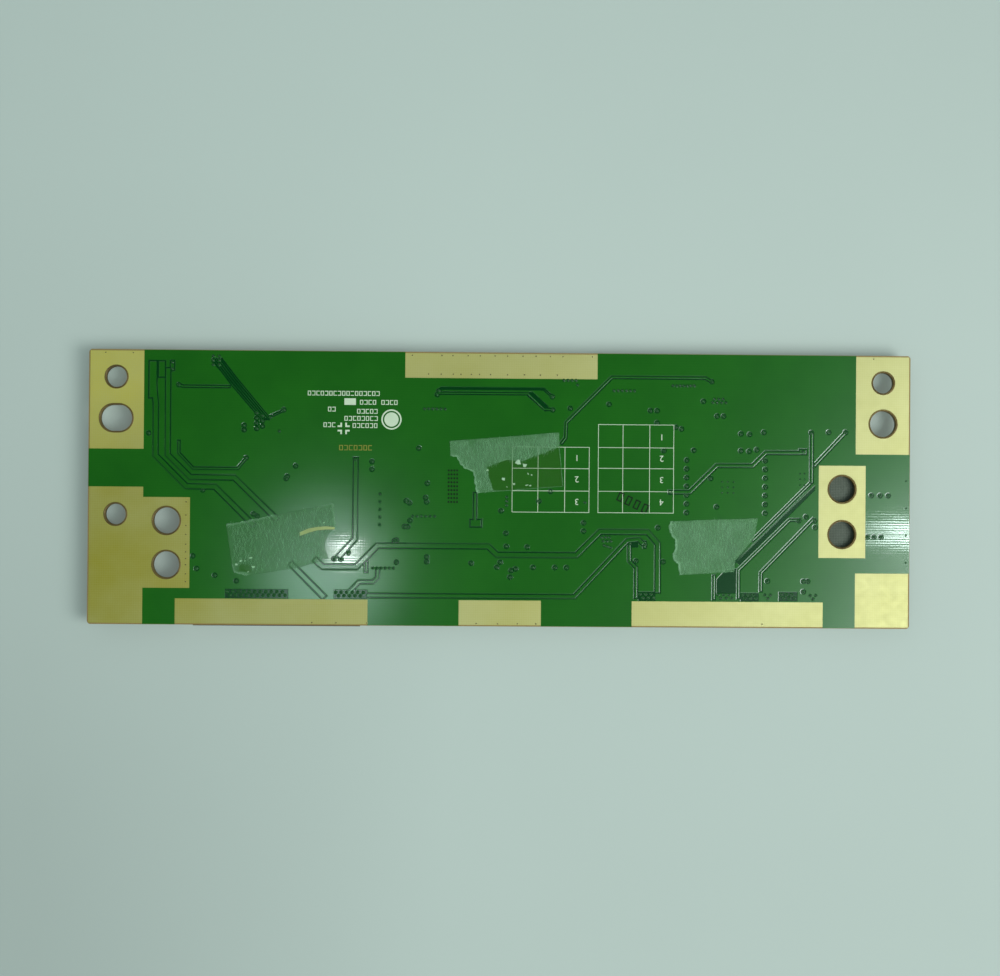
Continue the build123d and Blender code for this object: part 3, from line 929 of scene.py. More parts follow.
class Relief:
    """Sheet on one face of the board whose surface steps between levels.

    Lines are gathered in plan, the plan is triangulated once so that every line
    is kept as an edge, and each corner then takes its height.
    """

    def __init__(self) -> None:
        """Start with no lines."""
        self.points: list[Vector] = []
        self.edges: list[tuple[int, int]] = []

    def loop(self, loop: Iterable[Point]) -> None:
        """Keep a closed line.

        Args:
            loop: Corners of the line.
        """
        start = len(self.points)
        self.points += [Vector(point) for point in loop]
        count = len(self.points) - start
        self.edges += [(start + i, start + (i + 1) % count) for i in range(count)]

    def scatter(self, points: Iterable[Point]) -> None:
        """Add single places that the surface passes through."""
        self.points += [Vector(point) for point in points]

    def solid(
        self, name: str, keep: Callable[[np.ndarray], np.ndarray],
        height: Callable[[np.ndarray], np.ndarray], base: float,
        levels: dict[str, Callable[[np.ndarray], np.ndarray]], smooth: bool = False,
    ) -> bpy.types.Object:
        """Make the closed sheet.

        Args:
            name: Name of the piece.
            keep: Tells which triangle middles belong to the sheet.
            height: Height of its surface at each corner.
            base: Height of its back.
            levels: Values that the finish reads at each corner, by name.
            smooth: Whether its faces are shaded smooth.

        Returns:
            The linked object.
        """
        corners, _, faces, *_ = delaunay_2d_cdt(self.points, self.edges, [], 0, 1e-4, False)
        plan = np.array([tuple(corner) for corner in corners])
        triangles = np.array([face for face in faces if len(face) == 3])
        triangles = triangles[keep(plan[triangles].mean(axis=1))]
        used, triangles = np.unique(triangles, return_inverse=True)
        triangles = triangles.reshape(-1, 3)
        plan = plan[used]
        z = height(plan)
        front = np.column_stack([plan, z])
        back = np.column_stack([plan, np.full(len(plan), base)])
        edges = np.concatenate([triangles[:, [0, 1]], triangles[:, [1, 2]], triangles[:, [2, 0]]])
        known = {tuple(edge) for edge in edges.tolist()}
        rims = [(a, b) for a, b in known if (b, a) not in known]
        count = len(plan)
        walls = np.array([(b, a, a + count, b + count) for a, b in rims])
        if z.mean() < base:
            triangles, walls = triangles[:, ::-1], walls[:, ::-1]
        shape = Shape()
        shape.points = np.vstack([front, back]).tolist()
        shape.faces = [*triangles.tolist(), *(triangles[:, ::-1] + count).tolist(), *walls.tolist()]
        made = shape.object(name, smooth)
        for label, level in levels.items():
            layer = made.data.attributes.new(label, "FLOAT", "POINT")
            values = level(plan)
            layer.data.foreach_set("value", np.concatenate([values, values]).astype(np.float32))
        return made


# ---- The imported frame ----


class CadNode:
    """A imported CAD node, with its points merged and in millimetres."""

    def __init__(self, node: bpy.types.Object) -> None:
        """Read a node.

        Args:
            node: Object of the node.
        """
        mesh = node.data
        raw = np.array([vertex.co[:] for vertex in mesh.vertices]) / MM
        mesh.calc_loop_triangles()
        corners = np.array([triangle.vertices[:] for triangle in mesh.loop_triangles])
        _, first, merged = np.unique(
            np.round(raw, 4), axis=0, return_index=True, return_inverse=True
        )
        self.points = raw[first]
        self.triangles = merged.reshape(-1)[corners]
        self.low, self.high = raw.min(axis=0), raw.max(axis=0)

    def islands(self) -> list[np.ndarray]:
        """Points of each separate solid.

        Returns:
            One array of places for each solid.
        """
        label = np.arange(len(self.points))
        while True:
            low = label[self.triangles].min(axis=1)
            lower = label.copy()
            np.minimum.at(lower, self.triangles.ravel(), np.repeat(low, 3))
            lower = lower[lower]
            if (lower == label).all():
                return [self.points[label == one] for one in np.unique(label)]
            label = lower

    def boxes(self) -> list[tuple[np.ndarray, np.ndarray]]:
        """Lowest and highest corner of each solid."""
        return [(part.min(axis=0), part.max(axis=0)) for part in self.islands()]

    def rims(self, level: float) -> list[Loop]:
        """Closed lines round the flat faces at a height.

        Args:
            level: Height of the faces.

        Returns:
            Outer loops run anticlockwise and holes clockwise, seen from above.
        """
        flat = np.abs(self.points[:, 2] - level) < 1e-3
        faces = self.triangles[flat[self.triangles].all(axis=1)]
        a, b, c = (self.points[faces[:, k], :2] for k in range(3))
        turn = np.cross(b - a, c - a)
        faces = np.where(turn[:, None] > 0, faces, faces[:, ::-1])
        edges = np.concatenate([faces[:, [0, 1]], faces[:, [1, 2]], faces[:, [2, 0]]])
        known = {tuple(edge) for edge in edges.tolist()}
        following = {a: b for a, b in known if (b, a) not in known}
        loops = []
        while following:
            start, here = next(iter(following.items()))
            del following[start]
            path = [start]
            while here != start:
                path.append(here)
                here = following.pop(here)
            loops.append([tuple(self.points[i, :2]) for i in path])
        return loops


@dataclass
class BoardPlan:
    """Sizes and outlines that every sub-assembly is placed by.

    Attributes:
        nodes: CAD nodes by name.
        edge_margin: Width of laminate left bare round the board's edge.
    """

    nodes: dict[str, bpy.types.Object]
    edge_margin: float = 0.06
    half_length: float = field(init=False)
    half_width: float = field(init=False)
    bottom: float = field(init=False)
    top: float = field(init=False)
    outline: Loop = field(init=False)
    holes: list[Loop] = field(init=False)
    pads: list[Loop] = field(init=False)

    def __post_init__(self) -> None:
        """Read the board and its ground pads."""
        board = self.cad("circuit_board")
        self.half_length, self.half_width = board.high[:2]
        self.bottom, self.top = board.low[2], board.high[2]
        rims = board.rims(self.top)
        self.outline = max(rims, key=lambda rim: abs(signed_area(np.array(rim))))
        self.holes = [rim for rim in rims if rim is not self.outline]
        pads = self.cad("ground_pads")
        self.pad_top = pads.high[2]
        self.pads = [rim for rim in pads.rims(self.pad_top) if signed_area(np.array(rim)) > 0]

    def cad(self, name: str) -> CadNode:
        """Read a CAD node by name."""
        return CadNode(self.nodes[name])

    def mask_outline(self) -> Loop:
        """Outline of the board, drawn in by the bare margin."""
        share = (1 - self.edge_margin / self.half_length, 1 - self.edge_margin / self.half_width)
        return [(x * share[0], y * share[1]) for x, y in self.outline]

    def pad_openings(self) -> list[Loop]:
        """Outlines of the ground pads, run out to any edge of the board close by.

        Returns:
            One loop for each pad.
        """
        near, past = 0.4, 1.0
        openings = []
        for pad in self.pads:
            grown = []
            for x, y in pad:
                if self.half_length - abs(x) < near:
                    x = math.copysign(self.half_length + past, x)
                if self.half_width - abs(y) < near:
                    y = math.copysign(self.half_width + past, y)
                grown.append((x, y))
            openings.append(grown)
        return openings


# ---- Copper under the mask ----


@dataclass(frozen=True)
class Route:
    """One conductor set in the poured copper.

    Attributes:
        points: Corners of its middle line.
        width: Width of the copper.
        gap: Width of the bare line along each side.
    """

    points: tuple[Point, ...]
    width: float = 0.3
    gap: float = 0.16


@dataclass
class Copper:
    """Copper of one side: a pour, the conductors cut out of it and bare areas.

    Attributes:
        routes: Conductors.
        vias: Plated holes whose pads stand free of the pour.
        clear: Areas with no copper besides conductors.
        bevel: Width of the slope at the edge of the copper.
        via_radius: Radius of a via pad.
        via_gap: Width of the bare ring round it.
    """

    routes: Sequence[Route]
    vias: Sequence[Point]
    clear: Sequence[Loop] = ()
    bevel: float = 0.09
    via_radius: float = 0.3
    via_gap: float = 0.16

    def conductors(self) -> list[tuple[tuple[Point, ...], float, float]]:
        """Middle line, half width and gap of each conductor and via."""
        found = [(route.points, route.width / 2, route.gap) for route in self.routes]
        return found + [((via,), self.via_radius, self.via_gap) for via in self.vias]

    def draw(self, relief: Relief) -> None:
        """Keep every edge of the copper as a line.

        Args:
            relief: Sheet to draw on.
        """
        for points, half, gap in self.conductors():
            outer = (half + gap + self.bevel) * 1.1
            for reach in (half - self.bevel, half, half + gap, outer):
                if reach > 0.02:
                    relief.loop(beside(points, reach))
        for area in self.clear:
            relief.loop(area)
            relief.loop(widened(area, self.bevel))

    def level(self, at: np.ndarray) -> np.ndarray:
        """Copper level, 1 on copper and 0 on bare laminate.

        Args:
            at: Places in plan.

        Returns:
            One value for each place.
        """
        rows = []
        for points, reach, room in self.conductors():
            run = list(points) if len(points) > 1 else [points[0], points[0]]
            last = len(run) - 2
            for i in range(last + 1):
                square = (len(points) > 1 and i == 0, len(points) > 1 and i == last)
                rows.append((*run[i], *run[i + 1], reach, room, *square))
        table = np.array(rows, float)
        starts, ends, half, gap = table[:, :2], table[:, 2:4], table[:, 4], table[:, 5]
        result = np.empty(len(at))
        for first in range(0, len(at), 3000):
            part = at[first : first + 3000]
            away = distance(part, starts, ends, table[:, 6:]) - half
            on = (-away / self.bevel).max(axis=1)
            off = ((away - gap) / self.bevel).min(axis=1)
            for area in self.clear:
                rim = to_rim(part, area)
                off = np.minimum(off, np.where(inside(part, area), -rim, rim) / self.bevel)
            result[first : first + 3000] = np.maximum(on, off)
        return np.clip(result, 0, 1)


def widened(area: Loop, reach: float) -> Loop:
    """Loop with every side moved outwards by the same distance.

    Args:
        area: Corners of the loop.
        reach: How far to move its sides.

    Returns:
        The wider loop.
    """
    corners = np.array(area, float)
    if signed_area(corners) < 0:
        corners = corners[::-1]
    sides = np.roll(corners, -1, axis=0) - corners
    sides /= np.linalg.norm(sides, axis=1, keepdims=True)
    after = np.stack([sides[:, 1], -sides[:, 0]], axis=1)
    before = np.roll(after, 1, axis=0)
    share = 1.0 + (before * after).sum(axis=1, keepdims=True)
    return [tuple(corner) for corner in corners + (before + after) / share * reach]


def along(start: Point, step: Point, count: int) -> list[Point]:
    """Evenly spaced places from a start.

    Args:
        start: First place.
        step: Step from each place to the next.
        count: How many places.

    Returns:
        The places.
    """
    return [(start[0] + i * step[0], start[1] + i * step[1]) for i in range(count)]


def zigzag(start: Point, count: int) -> list[Point]:
    """Two staggered rows of vias behind a fine-pitch connector."""
    return [(start[0] + 0.5 * i, start[1] - 0.62 * (i % 2)) for i in range(count)]


SOLDER_ROUTES = (
    Route(((-63.4, 22.2), (-63.4, 16.9)), 1.3),
    Route(
        ((-63.2, 18.6), (-62.85, 15.2), (-62.85, 5.75), (-57.2, 0.12), (-52.0, 0.12),
         (-45.2, -6.6)), 0.8,
    ),
    Route(((-61.8, 22.3), (-61.8, 20.6)), 1.1),
    Route(((-60.65, 21.2), (-60.65, 5.9), (-56.5, 1.8), (-48.5, 1.8), (-41.0, -5.5)), 0.78),
    Route(((-37.9, -14.0), (-32.3, -19.6)), 0.8),
    Route(
        (
            (-33.5, -13.2), (-32.35, -14.35), (-26.2, -14.35), (-22.4, -10.4), (-2.2, -10.4),
            (-0.6, -11.95), (13.9, -11.95), (18.2, -7.58), (26.9, -7.58), (28.78, -9.7),
            (28.78, -18.2),
        ),
        0.8,
    ),
    Route(((-59.9, 22.6), (-59.9, 21.6)), 0.6),
    Route(((-58.6, 8.3), (-58.6, 6.2), (-56.0, 3.45), (-47.9, 3.45), (-46.5, 5.2)), 0.26),
    Route(((-58.7, 18.6), (-57.9, 18.35), (-49.6, 18.35)), 0.26),
    Route(((-52.5, 23.3), (-49.0, 18.7), (-43.6, 12.5)), 0.15),
    Route(((-52.0, 23.3), (-48.7, 19.0), (-43.2, 12.6)), 0.15),
    Route(((-51.5, 23.3), (-48.4, 19.3), (-42.8, 12.7)), 0.15),
    Route(((-51.0, 23.3), (-48.1, 19.6), (-42.4, 12.8)), 0.15),
    Route(((-42.2, 12.9), (-39.7, 14.1)), 0.2),
    Route(((-26.45, 5.2), (-26.45, -9.2), (-29.2, -12.2)), 0.72),
    Route(((-24.0, -19.5), (13.6, -19.5), (23.2, -9.2), (25.3, -8.95), (25.9, -9.6)), 0.6),
    Route(((23.6, -10.2), (23.6, -12.9), (24.85, -14.1), (24.85, -19.4)), 0.42),
    Route(((26.4, -9.5), (26.4, -10.3)), 0.3),
    Route(
        ((-27.7, -19.2), (-25.7, -17.05), (-23.1, -17.05), (-22.3, -16.2), (-22.3, -14.9)), 0.5
    ),
    Route(((-24.4, -13.6), (-24.4, -15.0)), 0.4),
    Route(((-11.5, 18.0), (-10.9, 18.4), (7.7, 18.4), (9.2, 17.1)), 0.2),
    Route(((-11.4, 17.5), (4.9, 17.5), (7.9, 14.7), (9.3, 14.7)), 0.24),
    Route(((5.6, 17.6), (8.3, 15.2)), 0.16),
    Route(
        ((11.1, 8.6), (11.8, 9.5), (11.9, 12.3), (20.2, 20.65), (37.3, 20.65), (38.4, 20.0)), 0.3
    ),
    Route(((-4.65, -0.9), (-4.65, -5.6)), 0.45),
    Route(((-4.85, -6.2), (-4.15, -6.2)), 1.2),
    Route(
        ((31.0, -0.25), (34.6, -0.25), (39.5, 4.65), (46.1, 4.65), (48.5, 7.1), (54.6, 7.1)), 0.5
    ),
    Route(((55.1, 7.3), (55.5, 7.3)), 0.8),
    Route(((56.9, 10.6), (56.9, 1.9)), 0.4),
    Route(((57.5, 4.9), (63.1, 10.9)), 0.32),
    Route(((56.6, 1.45), (46.2, -8.95)), 0.26),
    Route(((54.6, -5.2), (52.9, -5.2), (43.6, -14.4), (43.6, -19.4)), 0.3),
    Route(((39.1, -15.6), (39.1, -19.6)), 0.3),
    Route(((57.2, -5.1), (47.7, -14.9), (47.7, -18.1)), 0.3),
)

SOLDER_CLEAR: tuple[Loop, ...] = (
    [(-52.9, 23.0), (-51.1, 23.0), (-42.1, 12.3), (-43.5, 12.3), (-48.9, 18.7)],
    [(57.5, 1.1), (57.5, 0.3), (43.8, -13.5), (43.2, -13.0), (42.6, -13.6)],
    [(39.6, -18.7), (39.6, -16.2), (41.2, -14.4), (43.15, -14.2), (43.15, -18.7)],
    [(-50.0, -20.1), (-38.6, -20.1), (-38.6, -18.5), (-50.0, -18.5)],
    [(-30.2, -20.1), (-24.2, -20.1), (-24.2, -18.5), (-30.2, -18.5)],
    [(25.3, -20.1), (28.4, -20.1), (28.4, -18.5), (25.3, -18.5)],
    [(44.0, -20.1), (47.3, -20.1), (47.3, -18.6), (44.0, -18.6)],
    [(51.0, -20.0), (54.4, -20.0), (54.4, -18.4), (51.0, -18.4)],
    [(23.9, -10.4), (25.2, -10.4), (25.2, -9.3), (23.9, -9.3)],
    [(5.2, 17.9), (8.9, 14.4), (8.0, 14.3), (4.6, 17.2)],
)

SIGNAL_VIAS: tuple[Point, ...] = (
    (-64.1, 9.8), (-58.7, 18.6), (-46.4, 5.4), (-39.6, 14.2), (-46.8, 11.3), (-46.8, 10.5),
    (-59.9, 22.7), (-59.9, 21.5), (-54.2, -0.5), (-45.0, -4.8), (-44.3, -5.2),
    (-37.4, 4.0), (-39.1, 1.7), (-38.9, 2.1), (-23.5, 4.9), (-23.5, 3.5), (-26.45, 5.2),
    (-15.0, 7.4), (-13.4, 1.0), (-13.7, -1.6), (-13.5, -2.4), (-17.2, -2.2), (-16.6, -2.6),
    (-16.9, -6.9), (-17.5, -6.9), (-16.5, -5.8), (-19.3, -9.5), (-18.9, -9.4),
    (-30.3, -12.9), (-29.0, -12.9), (-27.7, -11.7), (-18.9, -13.4), (-13.4, -12.4),
    (-13.4, -13.3), (-5.3, -13.5), (0.0, -13.3), (-0.6, -14.2), (2.0, -14.8), (2.8, -14.5),
    (1.8, -16.0), (6.0, -14.2), (10.0, -14.2), (12.1, -14.2), (7.0, -2.1), (0.1, -3.9),
    (1.0, -8.0), (1.1, -10.4), (4.9, -10.5), (9.1, -0.3), (15.2, -6.0), (15.2, -7.5),
    (-11.4, 17.9), (-11.7, 17.2), (9.3, 17.0), (9.4, 14.6), (12.6, 14.9), (19.7, 15.7),
    (27.3, 14.6), (28.5, 14.6), (37.0, 16.4), (39.5, 13.7), (40.7, 13.7), (28.5, 12.4),
    (32.0, 11.6), (33.0, 11.3), (35.3, 7.4), (29.8, 7.3), (38.4, 2.3), (39.5, -2.9),
    (43.9, 10.5), (45.5, 10.4), (43.9, 7.4), (45.4, 7.3), (46.8, 7.6), (48.1, 10.8),
    (60.0, 10.9), (56.8, 10.8), (63.1, 10.9), (38.5, 20.0), (55.3, 7.4), (31.0, -0.3),
    (28.8, -6.8), (24.8, -12.9), (29.8, -13.0), (26.4, -9.9), (48.9, -16.4), (55.5, -16.4),
    (56.3, -16.4), (55.5, -18.3), (-55.9, -12.5), (-55.2, -14.8), (-51.9, -16.0),
    (-48.0, -17.0), (54.6, -5.3), (55.9, -4.6), (57.5, -5.3), (57.6, -6.5),
    *along((34.0, 5.6), (0.0, -1.6), 7), *along((48.4, 5.6), (0.0, -1.6), 7),
    *along((-44.5, 13.6), (0.0, -0.95), 4), *along((-43.5, 13.1), (0.0, -0.95), 3),
    (67.9, -0.6), (69.5, -0.6), (71.0, -0.6), (67.2, -8.2), (68.4, -8.2), (69.7, -8.2),
)

GROUND_VIAS: tuple[Point, ...] = (
    *along((-22.0, -1.0), (0.0, -1.4), 5), *along((-16.0, -5.0), (0.8, 0.0), 6),
    *along((-23.2, -14.5), (0.75, 0.0), 6),
    *along((-14.0, 14.6), (0.75, 0.0), 6),
    *along((11.4, 20.0), (0.75, 0.0), 4), *along((20.6, 18.2), (0.75, 0.0), 6),
    *along((31.4, 19.2), (0.65, 0.0), 7), *along((38.7, 16.2), (0.8, 0.0), 4),
    *along((39.0, 16.8), (0.8, 0.0), 3), *along((-52.5, 23.9), (0.0, -0.8), 3),
    *along((-51.4, 23.9), (0.0, -0.8), 3), *along((1.1, -1.4), (0.0, -0.75), 3),
    *along((18.5, -8.6), (0.7, 0.0), 3), *along((18.8, -9.3), (0.7, 0.0), 3),
    *along((19.0, -10.1), (0.6, -0.2), 3), (13.9, 19.2), (-42.0, 12.8), (-40.4, 10.3),
    *zigzag((-49.6, -18.95), 22), *zigzag((-29.9, -18.95), 11), *zigzag((25.6, -18.95), 6),
    *zigzag((44.3, -18.95), 6), *zigzag((51.4, -18.85), 6), *zigzag((39.9, -18.95), 6),
    *zigzag((48.5, -18.95), 3), *zigzag((56.8, -19.0), 3), (15.4, -2.3),
)

FINE_VIAS: tuple[Point, ...] = (
    *[(40.5 + 1.05 * i, 1.7 - 1.0 * j) for i in range(3) for j in range(3)],
    *[(54.8 + 0.8 * i, 3.3 - 1.05 * j) for i in range(2) for j in range(3)],
    *along((74.3, 2.1), (0.0, -5.0), 4),
)

PAD_DOTS: tuple[Point, ...] = (
    (-72.0, 24.4), (-67.0, 24.4), (68.2, 24.4), (48.0, -24.3),
    *[(-57.2, y) for y in (-2.7, -5.1, -7.0, -8.6, -10.4, -11.8, -13.0, -14.1, -15.8, -17.2)],
    *[(x, 24.35) for x in (-16.3, -10.9, -8.9, -6.1, -3.9, -1.2, 1.1, 3.9, 6.3, 8.9, 11.2, 16.6)],
    *[(x, 20.95) for x in (-13.3, -11.0, -8.8, -7.4, -5.5, -4.0, -2.0, 1.1, 4.2, 7.1, 10.2)],
    *[(x, -24.5) for x in (-34.2, -29.8, -24.2, -4.3, -0.4, 3.2, 6.6)],
)
# ---- Geometry Nodes that repeat or follow a rule ----


def spots(name: str, places: Sequence[Sequence[float]]) -> bpy.types.Object:
    """Make an object of loose points.

    Args:
        name: Name of the object.
        places: Places in millimetres.

    Returns:
        The linked object.
    """
    shape = Shape()
    shape.points = list(places)
    return shape.object(name)


def grow(piece: bpy.types.Object, maker: Callable[[], Group], **values: Any) -> bpy.types.Object:
    """Run a geometry group on a piece and keep what it makes as a plain mesh.

    Args:
        piece: Object that the group starts from.
        maker: Function that gives the group.
        values: Inputs of the group by name, with its sizes in metres.

    Returns:
        The same object, with the made mesh and no modifier.
    """
    modifier = piece.modifiers.new("nodes", "NODES")
    modifier.node_group = maker().tree
    for socket in modifier.node_group.interface.items_tree:
        if socket.name in values and socket.in_out == "INPUT":
            modifier[socket.identifier] = values[socket.name]
    bpy.context.view_layer.update()
    graph = bpy.context.evaluated_depsgraph_get()
    made = bpy.data.meshes.new_from_object(piece.evaluated_get(graph), depsgraph=graph)
    piece.modifiers.remove(modifier)
    piece.data = made
    made.name = piece.name
    return piece


@cache
def collars() -> Group:
    """Low round collars with a sunk middle, one on each point.

    Returns:
        Group with Radius, Wire, Height, Sink, Material and Middle in.
    """
    group = Group("collars_on_points", Radius=0.2, Wire=0.08, Height=0.03, Sink=0.3,
                  Material=None, Middle=None)
    given = group.given
    values = {"Resolution": 12, "Radius": given["Radius"]}
    path = group.out("GeometryNodeCurvePrimitiveCircle", values)
    ring = group.tube(path, 6, given["Wire"], capped=False)
    flat = {0: 1.0, 1: 1.0, 2: group.math("DIVIDE", given["Height"], given["Wire"])}
    values = {"Geometry": ring, "Scale": group.out("ShaderNodeCombineXYZ", flat)}
    collar = group.out("GeometryNodeTransform", values)
    values = {"Vertices": 12, "Radius": given["Radius"],
              "Depth": group.times(given["Height"], given["Sink"])}
    disc = group.out("GeometryNodeMeshCylinder", values)
    disc = group.out("GeometryNodeStoreNamedAttribute",
                     {"Geometry": disc, "Name": "middle", "Value": True},
                     data_type="BOOLEAN", domain="FACE")
    both = group.add("GeometryNodeJoinGeometry", {0: collar})
    group.tree.links.new(disc, both.inputs[0])
    dressed = group.copies(given["Geometry"], both.outputs[0])
    sunk = group.out("GeometryNodeInputNamedAttribute", {"Name": "middle"}, data_type="BOOLEAN")
    values = {"Geometry": dressed, "Selection": sunk, "Material": given["Middle"]}
    group.add("NodeGroupOutput", {0: group.out("GeometryNodeSetMaterial", values)})
    return group


@cache
def waisted_blocks() -> Group:
    """Waisted blocks on points, each as large as its point's size says.

    Returns:
        Group with Waist, Head and Material in.
    """
    group = Group("waisted_blocks_on_points", Waist=0.8, Head=0.6, Material=None)
    corner = math.sqrt(0.5)
    waist = group.times(group.given["Waist"], corner)
    head = group.times(group.given["Head"], corner)
    both = group.add("GeometryNodeJoinGeometry")
    for low, high, foot, depth in ((corner, waist, 0.0, 0.35), (waist, head, 0.35, 0.65)):
        values = {"Vertices": 4, "Radius Bottom": low, "Radius Top": high, "Depth": depth}
        values = {"Geometry": group.out("GeometryNodeMeshCone", values),
                  "Translation": (0, 0, foot), "Rotation": (0, 0, math.pi / 4)}
        group.tree.links.new(group.out("GeometryNodeTransform", values), both.inputs[0])
    size = group.out("GeometryNodeInputNamedAttribute", {"Name": "size"}, data_type="FLOAT_VECTOR")
    blocks = group.copies(group.given["Geometry"], both.outputs[0], Scale=size)
    group.add("NodeGroupOutput", {0: blocks})
    return group


@cache
def rib_row() -> Group:
    """A row of equal ribs along X.

    Returns:
        Group with Count, Pitch, Size, Place and Material in.
    """
    group = Group("row_of_ribs", Count=10, Pitch=0.001, Size=(0.001, 0.001, 0.001),
                  Place=(0, 0, 0), Material=None)
    given = group.given
    step = group.out("ShaderNodeCombineXYZ", {0: given["Pitch"]})
    line = group.out("GeometryNodeMeshLine", {"Count": given["Count"], "Offset": step})
    line = group.out("GeometryNodeTransform", {"Geometry": line, "Translation": given["Place"]})
    rib = group.out("GeometryNodeMeshCube", {"Size": given["Size"]})
    group.add("NodeGroupOutput", {0: group.copies(line, rib)})
    return group


@cache
def strewn_fibres() -> Group:
    """Short bent fibres strewn over a surface.

    Returns:
        Group with Density, Length, Thickness, Seed and Material in.
    """
    group = Group("strewn_fibres", Density=1e6, Length=0.001, Thickness=0.00005, Seed=7,
                  Material=None)
    given = group.given
    room = group.out("GeometryNodeInputNamedAttribute", {"Name": "room"}, data_type="FLOAT")
    facing = group.out("GeometryNodeInputNormal")
    upward = group.add("ShaderNodeSeparateXYZ", {0: facing}).outputs[2]
    chance = group.times(group.math("GREATER_THAN", upward, 0.5), room)
    values = {"Mesh": given["Geometry"], "Density": group.times(given["Density"], chance),
              "Seed": given["Seed"]}
    points = group.out("GeometryNodeDistributePointsOnFaces", values)
    half = group.times(given["Length"], 0.5)
    values = {
        "Resolution": 3,
        "Start": group.out("ShaderNodeCombineXYZ", {1: group.times(half, -1.0)}),
        "Middle": group.out("ShaderNodeCombineXYZ", {0: group.times(given["Length"], 0.14)}),
        "End": group.out("ShaderNodeCombineXYZ", {1: half}),
    }
    curve = group.out("GeometryNodeCurveQuadraticBezier", values)
    strand = group.tube(curve, 4, given["Thickness"])
    values = {"Min": (0, 0, -0.5), "Max": (0.04, 0.04, 0.5), "Seed": given["Seed"]}
    turn = group.out("FunctionNodeRandomValue", values, data_type="FLOAT_VECTOR")
    size = group.add("FunctionNodeRandomValue", {2: 0.5, 3: 1.4}, data_type="FLOAT").outputs[1]
    group.add("NodeGroupOutput", {0: group.copies(points, strand, Rotation=turn, Scale=size)})
    return group


@cache
def close_winding() -> Group:
    """Close turns of round wire on each point.

    Returns:
        Group with Radius, Wire, Turns and Material in.
    """
    group = Group("close_winding", Radius=0.002, Wire=0.0001, Turns=5.0, Material=None)
    given = group.given
    radius = group.math("SUBTRACT", given["Radius"], given["Wire"])
    values = {
        "Resolution": 28, "Rotations": given["Turns"], "Start Radius": radius,
        "End Radius": radius, "Height": group.times(given["Wire"], 2.0, given["Turns"]),
    }
    coil = group.tube(group.out("GeometryNodeCurveSpiral", values), 6, given["Wire"])
    group.add("NodeGroupOutput", {0: group.copies(given["Geometry"], coil)})
    return group


# ---- Board ----


@dataclass(frozen=True)
class Collars:
    """Sizes and finishes of one kind of low round collar.

    Attributes:
        radius: Middle radius of the collar.
        wire: Half its width.
        height: Half its height.
        sink: Height of the sunk middle, as a share of that.
        rim: Finish of the collar.
        middle: Finish of its middle.
        slot: Material slot of the record.
    """

    radius: float
    wire: float
    height: float
    sink: float
    rim: Finish
    middle: Finish
    slot: Slot

    def build(self, name: str, places: Sequence[Point], level: float) -> None:
        """Make one piece of the collars at all the places.

        Args:
            name: Name of the piece.
            places: Middles of the collars in plan.
            level: Height of their middles.
        """
        piece = spots(name, [(x, y, level) for x, y in places])
        grow(piece, collars, Radius=self.radius * MM, Wire=self.wire * MM,
             Height=self.height * MM, Sink=self.sink, Material=self.rim.material(),
             Middle=self.middle.material())
        smooth(piece)
        finish_piece(piece, self.rim, self.slot)


VIA = Collars(0.25, 0.1, 0.035, 0.5, VIA_MASK, VIA_CENTRE, Slot.MASK)
THERMAL_VIA = Collars(0.14, 0.06, 0.035, 0.5, VIA_MASK, VIA_CENTRE, Slot.MASK)
PAD_VIA = Collars(0.15, 0.05, 0.008, 0.6, PADS, SHADED_PITS, Slot.GOLD)


